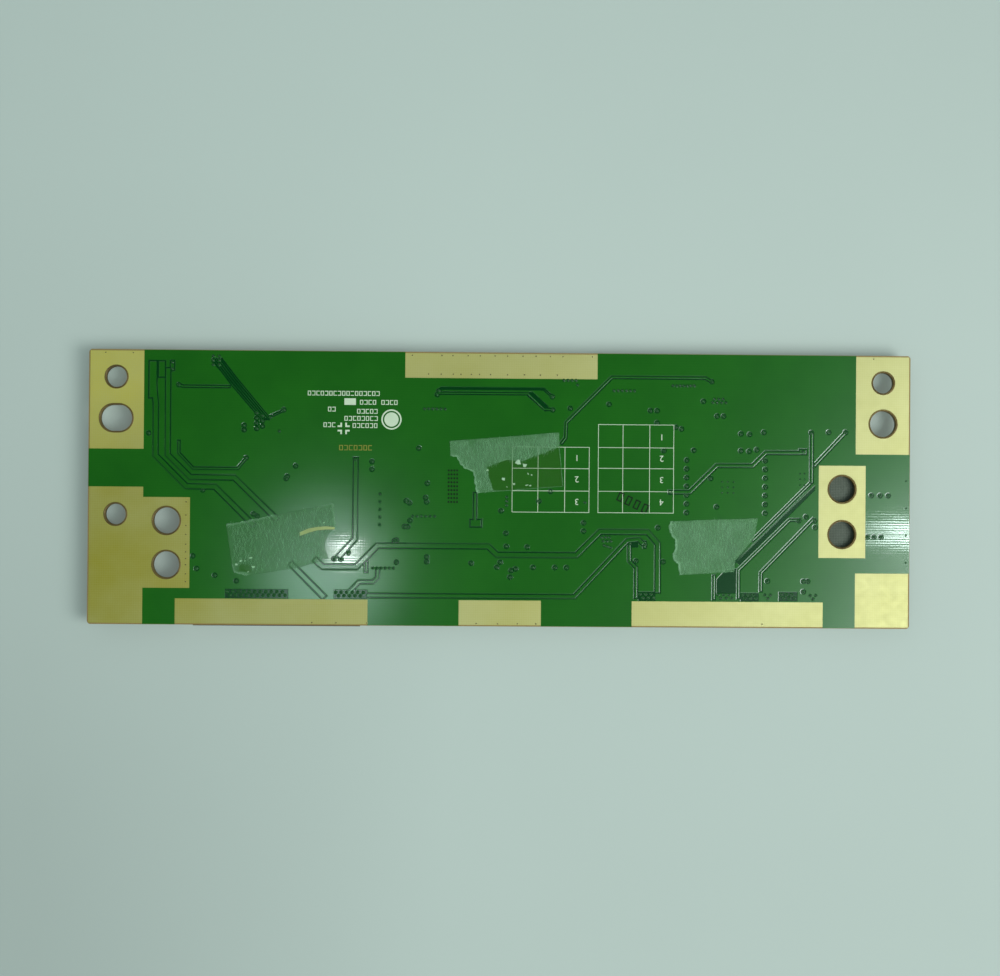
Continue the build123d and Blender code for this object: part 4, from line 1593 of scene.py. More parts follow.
@dataclass
class MaskFaces:
    """Lacquered copper on both faces of the board, with its vias and hole walls.

    Attributes:
        plan: Board that it covers.
        thickness: Height of the lacquer over copper.
        sunk: Height of the lacquer over bare laminate.
        wall: Thickness of the plating in a hole.
        flange: Width of the dark ring laid on the pads round a hole, which paints the shade at the
            hole's edge.
        land: Width of the bare ring round a hole on the component side.
        covered: Width of the strip along each long edge that connectors cover below.
    """

    plan: BoardPlan
    thickness: float = 0.045
    sunk: float = 0.033
    wall: float = 0.12
    flange: float = 0.2
    land: float = 1.4
    covered: float = 6.8

    def build(self) -> None:
        """Make both lacquered faces, the vias, the hole walls and the pad dots."""
        plan = self.plan
        copper = Copper(SOLDER_ROUTES, SIGNAL_VIAS, SOLDER_CLEAR)
        self.face("solder_side_mask", 1, copper, plan.pad_openings())
        lands = [self.grown(hole, self.land) for hole in plan.holes]
        copper = Copper(component_routes(plan), SIGNAL_VIAS)
        self.face("component_side_mask", -1, copper, lands)
        vias = [*SIGNAL_VIAS, *GROUND_VIAS]
        below = [via for via in vias if abs(via[1]) < plan.half_width - self.covered]
        rise = self.thickness * 0.9
        VIA.build("solder_side_vias", vias, plan.top + rise)
        VIA.build("component_side_vias", below, plan.bottom - rise)
        THERMAL_VIA.build("thermal_vias", FINE_VIAS, plan.top + rise)
        self.hole_walls()
        PAD_VIA.build("ground_pad_vias", PAD_DOTS, plan.pad_top)

    @staticmethod
    def grown(hole: Loop, reach: float) -> Loop:
        """Outline of a hole moved outwards.

        Args:
            hole: Outline of the hole.
            reach: How far to move it.

        Returns:
            The larger outline.
        """
        middle = np.mean(hole, axis=0)
        away = np.array(hole) - middle
        length = np.linalg.norm(away, axis=1, keepdims=True)
        return [tuple(point) for point in middle + away * (1 + reach / length)]

    def face(self, name: str, way: int, copper: Copper, openings: list[Loop]) -> None:
        """Make the lacquer of one face.

        Args:
            name: Name of the piece.
            way: 1 for the solder side and -1 for the component side.
            copper: Copper under the lacquer.
            openings: Places left bare.
        """
        base = self.plan.top if way > 0 else self.plan.bottom
        outline = self.plan.mask_outline()
        relief = Relief()
        for loop in (outline, *openings, *self.plan.holes):
            relief.loop(loop)
        copper.draw(relief)

        def keep(at: np.ndarray) -> np.ndarray:
            """Tell which places are lacquered."""
            kept = inside(at, outline)
            for loop in (*openings, *self.plan.holes):
                kept &= ~inside(at, loop)
            return kept

        def height(at: np.ndarray) -> np.ndarray:
            """Height of the lacquer."""
            rise = self.sunk + (self.thickness - self.sunk) * copper.level(at)
            return base + way * rise

        piece = relief.solid(name, keep, height, base, {"copper": copper.level})
        finish_piece(piece, MASK, Slot.MASK)

    def hole_walls(self) -> None:
        """Make the plated walls of the holes, the dark rings of painted shade round them on the
        pads, and their rings on the component side.
        """
        plan, walls, rings = self.plan, Shape(), Shape()
        head = plan.pad_top + 0.006
        for hole in plan.holes:
            rim = hole[::-1]
            inner, worn, land = (
                self.grown(hole, reach)[::-1] for reach in (-self.wall, self.flange, self.land)
            )
            walls.collar(rim, inner, plan.bottom - 0.05, head)
            # A dark ring laid on the pad round each hole, in the wall's finish, paints the shade at
            # the hole's edge.
            walls.collar(worn, rim, plan.pad_top - 0.02, head)
            rings.collar(land, rim, plan.bottom - self.thickness, plan.bottom)
        finish_piece(walls.object("plated_hole_walls", True), SHADED_BARREL, Slot.GOLD)
        finish_piece(rings.object("component_side_ground_rings"), PADS, Slot.GOLD)


def component_routes(plan: BoardPlan) -> list[Route]:
    """Conductors of the component side, run from part to part.

    Args:
        plan: Board that they lie on.

    Returns:
        The routes.
    """
    leads, inlet = plan.cad("timing_controller_leads"), plan.cad("input_contacts")
    low, high = leads.low, leads.high
    middle = (low[0] + high[0]) / 2
    pitch, lane, width = 0.5, 0.55, 0.2
    routes = []
    for side, name in ((-1, "output_left_contacts"), (1, "output_right_contacts")):
        contacts = plan.cad(name)
        near = contacts.high[0] if side < 0 else contacts.low[0]
        tails = contacts.high[1] + 0.3
        for i in range(7):
            x = middle + side * (3.75 - i * pitch)
            lane_y = low[1] - 1.6 - i * lane
            end = near - side * 2.0 * (i - 8)
            line = ((x, low[1] - 0.2), (x, lane_y + 0.5), (x + side * 0.5, lane_y),
                    (end - side * 0.5, lane_y), (end, lane_y - 0.5), (end, tails))
            routes.append(Route(line, width))
    lead_y, tail_y, shift = high[1] + 0.2, inlet.low[1] - 0.3, 1.0
    for i in range(12):
        x = middle - 2.75 + i * pitch
        line = ((x, lead_y), (x, lead_y + 1.0), (x + shift, lead_y + 2.0), (x + shift, tail_y))
        routes.append(Route(line, width))
    return routes


# ---- Legend ----


@dataclass
class Legend:
    """White print and bare etched marks on the solder side.

    Attributes:
        plan: Board that it is printed on.
        line: Width of the table lines.
        ink: Thickness of the ink.
        lift: Height of the print over the face of the board.
    """

    plan: BoardPlan
    line: float = 0.095
    ink: float = 0.014
    lift: float = 0.043

    def build(self) -> None:
        """Make the two tables, their row numbers and the plain marks."""
        low = self.plan.top + self.lift
        self.low, self.high = low, low + self.ink
        tables = Shape()
        self.table(tables, (2.1, 6.8, 11.7, 16.15), (7.8, 3.9, -0.2, -4.1))
        self.table(tables, (17.8, 22.3, 27.2, 31.6), (12.0, 7.8, 4.0, -0.2, -4.1))
        finish_piece(tables.object("legend_tables"), INK, Slot.MASK)
        self.numbers("legend_numbers", 13.9, (5.9, 2.0, -2.1))
        self.numbers("legend_numbers_tall", 29.4, (9.8, 5.9, 2.0, -2.1))
        marks = Shape()
        self.rows(marks)
        self.target(marks, (-20.0, 12.6))
        self.corners(marks, (-28.7, 10.9))
        finish_piece(marks.object("legend_marks"), INK, Slot.MASK)
        stamp = Shape()
        for column in range(4):
            for row in range(9):
                at = (-9.5 + 0.52 * column, 3.4 - 0.72 * row)
                stamp.prism(round_loop(*at, 0.2, 8), self.low, self.high)
        self.slanted(stamp, (21.9, -1.2), (26.4, -3.3), 4)
        finish_piece(stamp.object("black_marks"), STAMP, Slot.MASK)
        etched = Shape()
        self.blocks(etched, -29.4, 7.4, 7, 0.88, 0.95)
        finish_piece(etched.object("etched_marks"), ETCHED, Slot.GOLD)

    def table(self, shape: Shape, columns: Sequence[float], rows: Sequence[float]) -> None:
        """Add the lines of a table.

        Args:
            shape: Shape to add to.
            columns: Places of the upright lines.
            rows: Places of the level lines.
        """
        for x in columns:
            shape.bar((x, rows[0]), (x, rows[-1]), self.line, self.low, self.high)
        for y in rows:
            shape.bar((columns[0], y), (columns[-1], y), self.line, self.low, self.high + 0.001)

    def numbers(self, name: str, x: float, rows: Sequence[float]) -> None:
        """Print plain row numbers, which read from the other side of the table.

        Args:
            name: Name of the piece.
            x: Middle of the numbers.
            rows: Their places across the board.
        """
        joined = bmesh.new()
        turn = Euler((0, 0, math.pi)).to_matrix().to_4x4()
        for count, y in enumerate(rows, 1):
            text = bpy.data.curves.new(f"{name}_{count}", "FONT")
            text.body = str(count)
            text.size, text.extrude = 1.6 * MM, self.ink * MM / 2
            text.align_x, text.align_y, text.resolution_u = "CENTER", "CENTER", 3
            source = bpy.data.objects.new(text.name, text)
            flat = bpy.data.meshes.new_from_object(source)
            turn.translation = Vector((x, y, (self.low + self.high) / 2)) * MM
            flat.transform(turn)
            joined.from_mesh(flat)
            bpy.data.objects.remove(source)
        bmesh.ops.remove_doubles(joined, verts=joined.verts, dist=1e-7)
        mesh = bpy.data.meshes.new(name)
        joined.to_mesh(mesh)
        joined.free()
        finish_piece(linked(name, mesh), INK, Slot.MASK)

    def blocks(
        self, shape: Shape, x: float, y: float, count: int, pitch: float, tall: float
    ) -> None:
        """Add a row of hollow blocks in place of print.

        Args:
            shape: Shape to add to.
            x: Left end of the row.
            y: Middle of the row.
            count: How many blocks.
            pitch: Step from block to block.
            tall: Height of the row.
        """
        stroke, wide = 0.14, pitch * 0.6
        for i in range(count):
            left, right = x + i * pitch, x + i * pitch + wide
            top, foot = y + tall / 2 - stroke / 2, y - tall / 2 + stroke / 2
            for a, b in (((left, top), (right, top)), ((left, foot), (right, foot))):
                shape.bar(a, b, stroke, self.low, self.high)
            if i % 3 != 1:
                shape.bar((left, foot), (left, top), stroke, self.low, self.high - 0.001)
            if i % 4 != 2:
                shape.bar((right, foot), (right, top), stroke, self.low, self.high - 0.001)

    def slanted(self, shape: Shape, start: Point, end: Point, count: int) -> None:
        """Add a slanted row of open frames in thin strokes.

        Args:
            shape: Shape to add to.
            start: Middle of the first frame.
            end: Middle of the last frame.
            count: How many frames.
        """
        first, last = np.array(start), np.array(end)
        way = (last - first) / np.linalg.norm(last - first)
        side = np.array((-way[1], way[0]))
        for i in range(count):
            middle = first + (last - first) * i / (count - 1)
            corners = [middle + way * a + side * b for a, b in box_loop((-0.4, 0.4), (-0.75, 0.75))]
            for k in range(4):
                lift = 0.001 * (k % 2)
                shape.bar(corners[k], corners[(k + 1) % 4], 0.24, self.low, self.high - lift)

    def rows(self, shape: Shape) -> None:
        """Add the rows of blocks."""
        for x, y, count in (
            (-35.2, 17.3, 17), (-25.7, 15.7, 4), (-21.8, 15.7, 4), (-31.5, 14.4, 2),
            (-26.2, 14.05, 5), (-28.5, 12.75, 8), (-27.0, 11.45, 6), (-32.3, 11.55, 3),
        ):
            self.blocks(shape, x, y, count, 0.78, 0.86)
        shape.prism(box_loop((-28.6, -26.5), (15.2, 16.4)), self.low, self.high)

    def target(self, shape: Shape, at: Point) -> None:
        """Add a disc in a ring round a place."""
        shape.prism(round_loop(*at, 1.3, 32), self.low, self.high)
        shape.collar(round_loop(*at, 1.85, 32), round_loop(*at, 1.58, 32), self.low, self.high)

    def corners(self, shape: Shape, at: Point) -> None:
        """Add four corner marks that face each other.

        Args:
            shape: Shape to add to.
            at: Their middle.
        """
        for side in (-1, 1):
            for rise in (-1, 1):
                x, y = at[0] + side * 0.45, at[1] + rise * 0.4
                shape.bar((x, y), (x + side * 0.5, y), 0.3, self.low, self.high)
                shape.bar((x, y), (x, y + rise * 0.5), 0.3, self.low, self.high - 0.001)


# ---- Tape ----


@dataclass
class TapeStrip:
    """Torn strip of tissue tape, closely wrinkled and ragged where it tore.

    Attributes:
        name: Name of the CAD node that it is shown in place of.
        level: Height of its back.
        outline: Corners, with a flag for each side that is torn.
        clear: Corners of the part where the tissue came away and clear film is left.
        seed: Seed of the raggedness.
        share: Share of tissue in the film.
        thickness: Least thickness of the film.
        step: Step between the places where its face is set.
    """

    name: str
    level: float
    outline: Sequence[tuple[float, float, bool]]
    clear: Sequence[Sequence[Point]] = ()
    seed: int = 3
    share: float = 1.0
    thickness: float = 0.035
    step: float = 0.32

    def build(self) -> None:
        """Make the film and the fibres on it."""
        rng = np.random.default_rng(self.seed)
        loop = self.ragged(rng)
        low, high = np.min(loop, axis=0), np.max(loop, axis=0)
        grid = [
            (x, y)
            for x in np.arange(low[0], high[0], self.step)
            for y in np.arange(low[1], high[1], self.step)
        ]
        at = np.array(grid) + rng.uniform(-0.3, 0.3, (len(grid), 2)) * self.step
        relief = Relief()
        relief.loop(loop)
        for area in self.clear:
            relief.loop(area)
        relief.scatter([tuple(point) for point in at[inside(at, loop) & (to_rim(at, loop) > 0.1)]])
        waves = rng.uniform(-1, 1, (14, 2)) * 2.6
        phase = rng.uniform(0, math.tau, 14)

        def height(places: np.ndarray) -> np.ndarray:
            """Height of the wrinkled face."""
            ripple = np.sin(places @ waves.T + phase).sum(axis=1) / 14
            curl = np.exp(-((to_rim(places, loop) / 0.35) ** 2)) * 0.012
            return self.level + self.thickness + 0.03 * np.abs(ripple) + curl

        piece = relief.solid(
            f"{self.name}_film", lambda places: inside(places, loop), height, self.level,
            {"tissue": self.tissue, "rim": self.rim, "room": self.room}, True,
        )
        fibres = linked(f"{self.name}_fibres", piece.data.copy())
        finish_piece(piece, TISSUE, Slot.TAPE, stands_for=(self.name,))
        grow(fibres, strewn_fibres, Density=1.3e7 * self.share, Length=1.15 * MM,
             Thickness=0.0075 * MM, Seed=self.seed, Material=FIBRES.material())
        finish_piece(fibres, FIBRES, Slot.TAPE)

    def away(self, at: np.ndarray, torn: bool) -> np.ndarray:
        """Distance from places to the sides of the outline.

        Args:
            at: Places in plan.
            torn: Whether only the torn sides count.

        Returns:
            One distance for each place.
        """
        corners = np.array([side[:2] for side in self.outline])
        counted = np.array([side[2] or not torn for side in self.outline])
        if not counted.any():
            return np.full(len(at), 9.0)
        starts, ends = corners[counted], np.roll(corners, -1, axis=0)[counted]
        return distance(at, starts, ends).min(axis=1)

    def rim(self, at: np.ndarray) -> np.ndarray:
        """Share of frayed tissue with a painted highlight, highest along the torn sides."""
        return np.exp(-((self.away(at, True) / 0.3) ** 2))

    def room(self, at: np.ndarray) -> np.ndarray:
        """Share of loose fibres, none close to a side."""
        return np.clip((self.away(at, False) - 0.5) / 0.3, 0, 1) * (self.tissue(at) > 0.4)

    def ragged(self, rng: np.random.Generator) -> Loop:
        """Outline with small bites along its torn sides.

        Args:
            rng: Source of the raggedness.

        Returns:
            The loop.
        """
        loop: Loop = []
        count = len(self.outline)
        for i, (x, y, torn) in enumerate(self.outline):
            nx, ny, _ = self.outline[(i + 1) % count]
            length = math.hypot(nx - x, ny - y)
            parts = max(1, round(length / (0.28 if torn else 0.9)))
            depth = 0.13 if torn else 0.025
            for k in range(parts):
                t = k / parts
                bite = rng.uniform(-depth, depth) if k else 0.0
                loop.append((x + (nx - x) * t - (ny - y) / length * bite,
                             y + (ny - y) * t + (nx - x) / length * bite))
        return loop

    def tissue(self, at: np.ndarray) -> np.ndarray:
        """Share of tissue left, 0 on clear film.

        Args:
            at: Places in plan.

        Returns:
            One value for each place.
        """
        left = np.full(len(at), self.share)
        for area in self.clear:
            thin = np.clip(0.22 - to_rim(at, area) / 0.8, 0.05, 0.22)
            left = np.where(inside(at, area), thin, left)
        return left


LEFT_TAPE = (
    (-49.9, -6.7, True), (-46.0, -6.0, True), (-41.0, -4.9, False), (-33.0, -3.3, True),
    (-31.0, -2.7, True), (-30.4, -2.8, True), (-30.0, -7.2, False), (-31.0, -7.95, False),
    (-31.55, -8.8, False), (-31.85, -10.0, False), (-31.75, -11.3, False),
    (-31.15, -12.8, False), (-36.5, -14.5, False),
    (-46.0, -16.0, True), (-48.4, -15.5, True), (-48.8, -14.2, False),
)
LEFT_CLEAR = (
    ((-47.6, -15.2), (-45.2, -15.4), (-45.5, -14.0), (-47.4, -13.9)),
)
MIDDLE_TAPE = (
    (-9.4, 8.8, False), (0.6, 9.6, False), (10.6, 10.5, False), (10.7, 8.3, False),
    (11.4, 0.6, False), (3.0, -0.1, False), (-4.2, -0.7, True), (-4.6, 0.0, True),
    (-5.0, 3.1, True), (-6.5, 3.7, True), (-7.5, 4.6, True), (-8.0, 5.8, True),
    (-9.2, 6.0, False),
)
MIDDLE_CLEAR = (
    (
        (11.28, 0.72), (10.6, 7.9), (8.0, 6.8), (6.0, 6.0), (3.5, 5.0), (1.4, 5.5),
        (-1.0, 4.7), (-2.5, 4.0), (-2.0, 2.0), (-1.4, -0.33), (3.0, 0.0),
    ),
)
RIGHT_TAPE = (
    (31.0, -5.6, False), (39.0, -5.2, False), (47.1, -4.9, False), (46.5, -8.5, False),
    (43.0, -12.7, False), (42.8, -14.8, False), (32.8, -15.4, True), (32.5, -13.3, True),
    (31.8, -12.8, True), (31.5, -11.5, True), (32.0, -10.5, True), (32.0, -9.0, True),
    (31.3, -8.3, True), (30.8, -6.8, True),
)
# Middle and size of each fleck; the two round (3.8, 4.8) also paint a highlight on the middle
# strip's torn edge.
TAPE_FLECKS_AND_HIGHLIGHT = (
    (0.5, 1.9, 0.42), (2.4, 1.0, 0.3), (5.0, 2.9, 0.26), (5.6, 2.7, 0.2), (4.8, 0.8, 0.3),
    (5.4, 0.7, 0.24), (-2.4, 3.5, 0.28), (3.2, 5.0, 0.7), (4.3, 4.4, 0.6), (1.2, 0.5, 0.2),
    (-45.4, -12.8, 0.42), (-48.0, -14.0, 0.34), (-47.2, -13.4, 0.3), (-44.9, -14.4, 0.4),
    (-46.4, -13.4, 0.2), (-32.2, -6.3, 0.24), (-45.9, -15.3, 0.26),
)


@dataclass
class Tapes:
    """The three strips of tape on the solder side.

    Attributes:
        plan: Board that they are stuck to.
        lift: Height of their back over the face of the board.
    """

    plan: BoardPlan
    lift: float = 0.06

    def build(self) -> None:
        """Make the strips and the sliver of paper left on one of them."""
        level = self.plan.top + self.lift
        TapeStrip("tape_left", level, LEFT_TAPE, LEFT_CLEAR, 5, 0.52).build()
        TapeStrip("tape_middle", level, MIDDLE_TAPE, MIDDLE_CLEAR, 11, 0.86).build()
        TapeStrip("tape_right", level, RIGHT_TAPE, (), 23, 0.95).build()
        self.sliver(level + 0.05)
        self.flecks(level + 0.03)

    def flecks(self, level: float) -> None:
        """Make the flecks of tissue left where the rest tore away; those round (3.8, 4.8) also
        paint a highlight on the torn edge there.

        Args:
            level: Height of their backs.
        """
        rng = np.random.default_rng(41)
        shape = Shape()
        for x, y, size in TAPE_FLECKS_AND_HIGHLIGHT:
            turns = np.sort(rng.uniform(0, math.tau, 9))
            reach = size * rng.uniform(0.6, 1.1, 9)
            loop = [
                (x + r * math.cos(t), y + 0.7 * r * math.sin(t)) for t, r in zip(turns, reach)
            ]
            shape.prism(loop, level, level + 0.03, 0.3 * size)
        finish_piece(shape.object("tape_flecks"), FLECK, Slot.TAPE)

    def sliver(self, level: float) -> None:
        """Make the torn sliver of backing paper.

        Args:
            level: Height of its back.
        """
        spine = ((-36.5, -8.4), (-34.9, -7.75), (-33.4, -7.4), (-31.8, -7.25), (-30.2, -7.3))
        widths = (0.34, 0.38, 0.3, 0.28, 0.2)
        upper = [(x, y + w) for (x, y), w in zip(spine, widths)]
        lower = [(x, y - w) for (x, y), w in zip(spine, widths)]
        shape = Shape()
        for i in range(len(spine) - 1):
            shape.prism([lower[i], lower[i + 1], upper[i + 1], upper[i]], level, level + 0.03)
        piece = shape.object("tape_left_paper_sliver")
        weld(piece)
        finish_piece(piece, PAPER, Slot.TAPE)


def weld(piece: bpy.types.Object, bevel: float = 0.0) -> None:
    """Merge doubled points, drop inner walls and soften the edges.

    Args:
        piece: Piece to clean.
        bevel: Width of the softened edges in millimetres.
    """
    work = bmesh.new()
    work.from_mesh(piece.data)
    bmesh.ops.remove_doubles(work, verts=work.verts, dist=1e-7)
    twins: dict[frozenset[int], list[bmesh.types.BMFace]] = {}
    for face in work.faces:
        twins.setdefault(frozenset(v.index for v in face.verts), []).append(face)
    inner = [face for group in twins.values() if len(group) > 1 for face in group]
    bmesh.ops.delete(work, geom=inner, context="FACES")
    if bevel:
        edges = [edge for edge in work.edges if edge.calc_face_angle(0) > 0.5]
        bmesh.ops.bevel(work, geom=edges, offset=bevel * MM, segments=2, affect="EDGES",
                        profile=0.5, clamp_overlap=True)
    work.to_mesh(piece.data)
    work.free()


# ---- Connectors ----


@dataclass
class Connectors:
    """Combs and grips of the three connectors.

    Attributes:
        plan: Board that they hang under.
        pitch: Pitch of the contacts.
        contact: Width of a contact.
    """

    plan: BoardPlan
    pitch: float = 0.5
    contact: float = 0.2

    def build(self) -> None:
        """Make the combs between the contacts and the grips of the levers."""
        wide, roof = self.pitch - self.contact - 0.08, self.plan.bottom - 0.02
        floor = self.plan.bottom - 0.8
        for side, body in (("left", Body.LEFT_LEVER), ("right", Body.RIGHT_LEVER)):
            name = f"output_{side}"
            housing = self.plan.cad(f"{name}_housing")
            tail, front = housing.high[1], housing.low[1] + 1.9
            self.comb(f"{name}_comb", f"{name}_contacts", wide, (tail - 0.95, tail), (1.25, roof))
            self.comb(f"{name}_slot_ribs", f"{name}_contacts", 0.12, (front - 1.3, front + 1.3),
                      (floor - 0.12, floor))
            self.grips(name, body)
        inlet = self.plan.cad("input_housing").low[1]
        self.comb("input_comb", "input_contacts", wide, (inlet, inlet + 0.9), (1.85, roof))

    def comb(self, name: str, node: str, wide: float, y: Span, z: Span) -> None:
        """Make ribs that stand between the contacts of a connector.

        Args:
            name: Name of the piece.
            node: CAD node of the contacts.
            wide: Width of a rib.
            y: Reach of the ribs across the board.
            z: Reach of the ribs in height.
        """
        low, high = (end[0] for end in (self.plan.cad(node).low, self.plan.cad(node).high))
        count = round((high - low - self.contact) / self.pitch)
        first = low + self.contact / 2 + self.pitch / 2
        self.ribs(name, count, self.pitch, (first, sum(y) / 2, sum(z) / 2),
                  (wide, y[1] - y[0], z[1] - z[0]), (HOUSING, Slot.HOUSING, Body.BOARD))

    def grips(self, name: str, body: Body, count: int = 28, bare: float = 1.6) -> None:
        """Make the grip ribs on the lip of a lever.

        Args:
            name: Name of the connector.
            body: Body that they move with.
            count: How many ribs.
            bare: Length at each end of the lip that has none.
        """
        lever = self.plan.cad(f"{name}_lever")
        pitch = (lever.high[0] - lever.low[0] - 2 * bare) / count
        first = (lever.low[0] + bare + pitch / 2, lever.low[1] + 0.015, lever.low[2] + 0.22)
        self.ribs(f"{name}_lever_grips", count, pitch, first, (0.28, 0.05, 0.3),
                  (LEVER, Slot.LEVER, body))

    @staticmethod
    def ribs(
        name: str, count: int, pitch: float, first: Sequence[float], size: Sequence[float],
        kind: tuple[Finish, Slot, Body],
    ) -> None:
        """Make a row of ribs.

        Args:
            name: Name of the piece.
            count: How many ribs.
            pitch: Step from rib to rib.
            first: Middle of the first rib.
            size: Size of a rib.
            kind: Their finish, the material slot of the record and their body.
        """
        piece = spots(name, [(0, 0, 0)])
        grow(piece, rib_row, Count=count, Pitch=pitch * MM, Size=tuple(v * MM for v in size),
             Place=tuple(v * MM for v in first), Material=kind[0].material())
        finish_piece(piece, *kind)


# ---- Parts of the component side ----


@dataclass
class ComponentSide:
    """Softened bodies, windings, solder and print of the component side.

    Attributes:
        plan: Board that the parts hang under.
        reach: Width of solder that shows past a foot.
    """

    plan: BoardPlan
    reach: float = 0.16

    def build(self) -> None:
        """Make the pieces that stand for plain solids, then the solder and the print."""
        for node, radius in (
            ("bulk_capacitor", 0.07), ("medium_capacitor", 0.06), ("small_capacitor", 0.035),
            ("resistor", 0.03), ("bead", 0.05), ("fuse", 0.05),
        ):
            dark = node in ("resistor", "bead", "fuse")
            body = (CHIP, Slot.CHIP) if dark else (CAPACITOR, Slot.CAPACITOR)
            self.rounded(f"{node}_bodies", radius, *body, draw_in=0.02)
            self.rounded(f"{node}_terminals", radius, TIN, Slot.TIN)
        self.moulded()
        self.windings()
        self.solder()
        self.outlines()

    def rounded(
        self, node: str, radius: float, finish: Finish, slot: Slot, draw_in: float = 0.0
    ) -> None:
        """Make softened blocks in place of the sharp blocks of a node.

        Args:
            node: Name of the CAD node.
            radius: Radius of the edges.
            finish: Finish of the blocks.
            slot: Material slot of the record.
            draw_in: How far the ends of their faces are drawn in.
        """
        shape = Shape()
        for low, high in self.plan.cad(node).boxes():
            x = (low[0] + draw_in, high[0] - draw_in)
            y = (low[1] + draw_in, high[1] - draw_in)
            shape.prism(box_loop(x, y), high[2], low[2] + draw_in)
        piece = shape.object(f"{node}_softened", True)
        weld(piece, radius)
        finish_piece(piece, finish, slot, stands_for=(node,))

    def moulded(self) -> None:
        """Make the moulded bodies, with a parting line and a mark at pin one."""
        for node, dot in (
            ("timing_controller_body", 0.55), ("memory_body", 0.3), ("converter_body", 0.3),
            ("gamma_buffer_body", 0.3), ("power_manager_body", 0.22),
            ("level_shifter_body", 0.18), ("transistor_bodies", 0.0), ("diode_bodies", 0.0),
        ):
            self.package(node, dot)

    def package(self, node: str, dot: float) -> None:
        """Make one kind of moulded body.

        Args:
            node: Name of the CAD node.
            dot: Radius of the sunk mark at pin one, or 0 for none.
        """
        cad = self.plan.cad(node)
        shape = Shape()
        marks = []
        straight = "manager" in node or "shifter" in node
        for low, high in cad.boxes():
            middle = (low[2] + high[2]) / 2
            draft = 0.0 if straight else (high[2] - low[2]) / 2 * math.tan(math.radians(8.0))
            for z in (high[2], low[2]):
                start = middle + math.copysign(0.02, z - middle)
                shape.prism(box_loop((low[0], high[0]), (low[1], high[1])), start, z, draft * 1.4)
            lip = 0.012
            line = box_loop((low[0] - lip, high[0] + lip), (low[1] - lip, high[1] + lip))
            shape.prism(line, middle - 0.02, middle + 0.02)
            marks.append((low[0] + draft + 2.1 * dot, high[1] - draft - 2.1 * dot))
        piece = shape.object(f"{node}_moulding")
        finish_piece(piece, EPOXY, Slot.EPOXY, stands_for=(node,))
        if dot:
            mark = Collars(dot, 0.05, 0.016, 0.7, EPOXY, CHIP, Slot.EPOXY)
            mark.build(f"{node}_pin_mark", marks, cad.low[2])

    def windings(self) -> None:
        """Wind the coils of the inductors."""
        wire, spare = 0.11, 0.6
        coils = self.plan.cad("inductor_coils").boxes()
        low, high = coils[0]
        turns = (high[2] - low[2]) / (2 * wire)
        places = [(*((a + b) / 2)[:2], a[2] + wire * 0.5) for a, b in coils]
        piece = spots("inductor_windings", places)
        grow(piece, close_winding, Radius=(high[0] - low[0]) / 2 * MM, Wire=wire * MM,
             Turns=turns - spare, Material=WIRE.material())
        smooth(piece)
        finish_piece(piece, WIRE, Slot.WINDING)

    def feet(self) -> list[tuple[float, float, float, float, float]]:
        """Places, sizes and heights of every soldered foot.

        Returns:
            Middle, length, width and solder height of each.
        """
        found = []
        for name in self.plan.nodes:
            if not name.endswith(("_leads", "_lands", "_terminals", "_tabs", "_contacts")):
                continue
            tall = 0.3 if "terminals" in name and "inductor" not in name else 0.13
            for part in self.plan.cad(name).islands():
                foot = part[part[:, 2] > self.plan.bottom - 0.17]
                if len(foot) < 3:
                    continue
                low, high = foot[:, :2].min(axis=0), foot[:, :2].max(axis=0)
                fine = name.endswith("contacts") or "timing" in name
                spare = 0.07 if fine else self.reach
                size = high - low + np.array((spare, spare)) * 2
                found.append((*((low + high) / 2), *size, tall))
        return found

    def solder(self) -> None:
        """Make the fillets of solder round every foot."""
        feet = self.feet()
        level = self.plan.bottom - 0.03
        piece = spots("solder_fillets", [(x, y, level) for x, y, *_ in feet])
        layer = piece.data.attributes.new("size", "FLOAT_VECTOR", "POINT")
        sizes = [(a * MM, b * MM, -tall * MM) for _, _, a, b, tall in feet]
        layer.data.foreach_set("vector", np.array(sizes, np.float32).ravel())
        grow(piece, waisted_blocks, Waist=0.86, Head=0.62, Material=TIN.material())
        turn_out(piece)
        finish_piece(piece, TIN, Slot.TIN)

    def outlines(self) -> None:
        """Print the outlines of the parts."""
        lines, stroke = Shape(), 0.15
        level = self.plan.bottom - 0.043
        thin = (level - 0.012, level)
        for name, room in (
            ("timing_controller_body", 1.3), ("memory_body", 0.35), ("converter_body", 0.35),
            ("gamma_buffer_body", 0.35), ("power_manager_body", 0.35),
            ("level_shifter_body", 0.35), ("crystal_base", 0.3), ("inductor_cores", 0.3),
            ("diode_bodies", 0.3), ("transistor_bodies", 0.25), ("bulk_capacitor_bodies", 0.3),
            ("resistor_bodies", 0.15), ("fuse_bodies", 0.2), ("bead_bodies", 0.15),
        ):
            for low, high in self.plan.cad(name).boxes():
                self.frame(lines, low - room, high + room, stroke, thin)
        finish_piece(lines.object("component_outlines"), INK, Slot.MASK)

    @staticmethod
    def frame(
        shape: Shape, low: np.ndarray, high: np.ndarray, stroke: float, z: Span
    ) -> None:
        """Add the four corners of an outline, open along its sides.

        Args:
            shape: Shape to add to.
            low: Lowest corner.
            high: Highest corner.
            stroke: Width of the line.
            z: Reach in height.
        """
        for x, way in ((low[0], 1), (high[0], -1)):
            for y, rise in ((low[1], 1), (high[1], -1)):
                leg = (high[0] - low[0]) * 0.28, (high[1] - low[1]) * 0.28
                shape.bar((x, y), (x + way * leg[0], y), stroke, *z)
                shape.bar((x, y), (x, y + rise * leg[1]), stroke, z[0] + 0.001, z[1])


def turn_out(piece: bpy.types.Object) -> None:
    """Point every face of a piece outwards.

    Args:
        piece: Piece to turn out.
    """
    work = bmesh.new()
    work.from_mesh(piece.data)
    bmesh.ops.recalc_face_normals(work, faces=work.faces)
    work.to_mesh(piece.data)
    work.free()


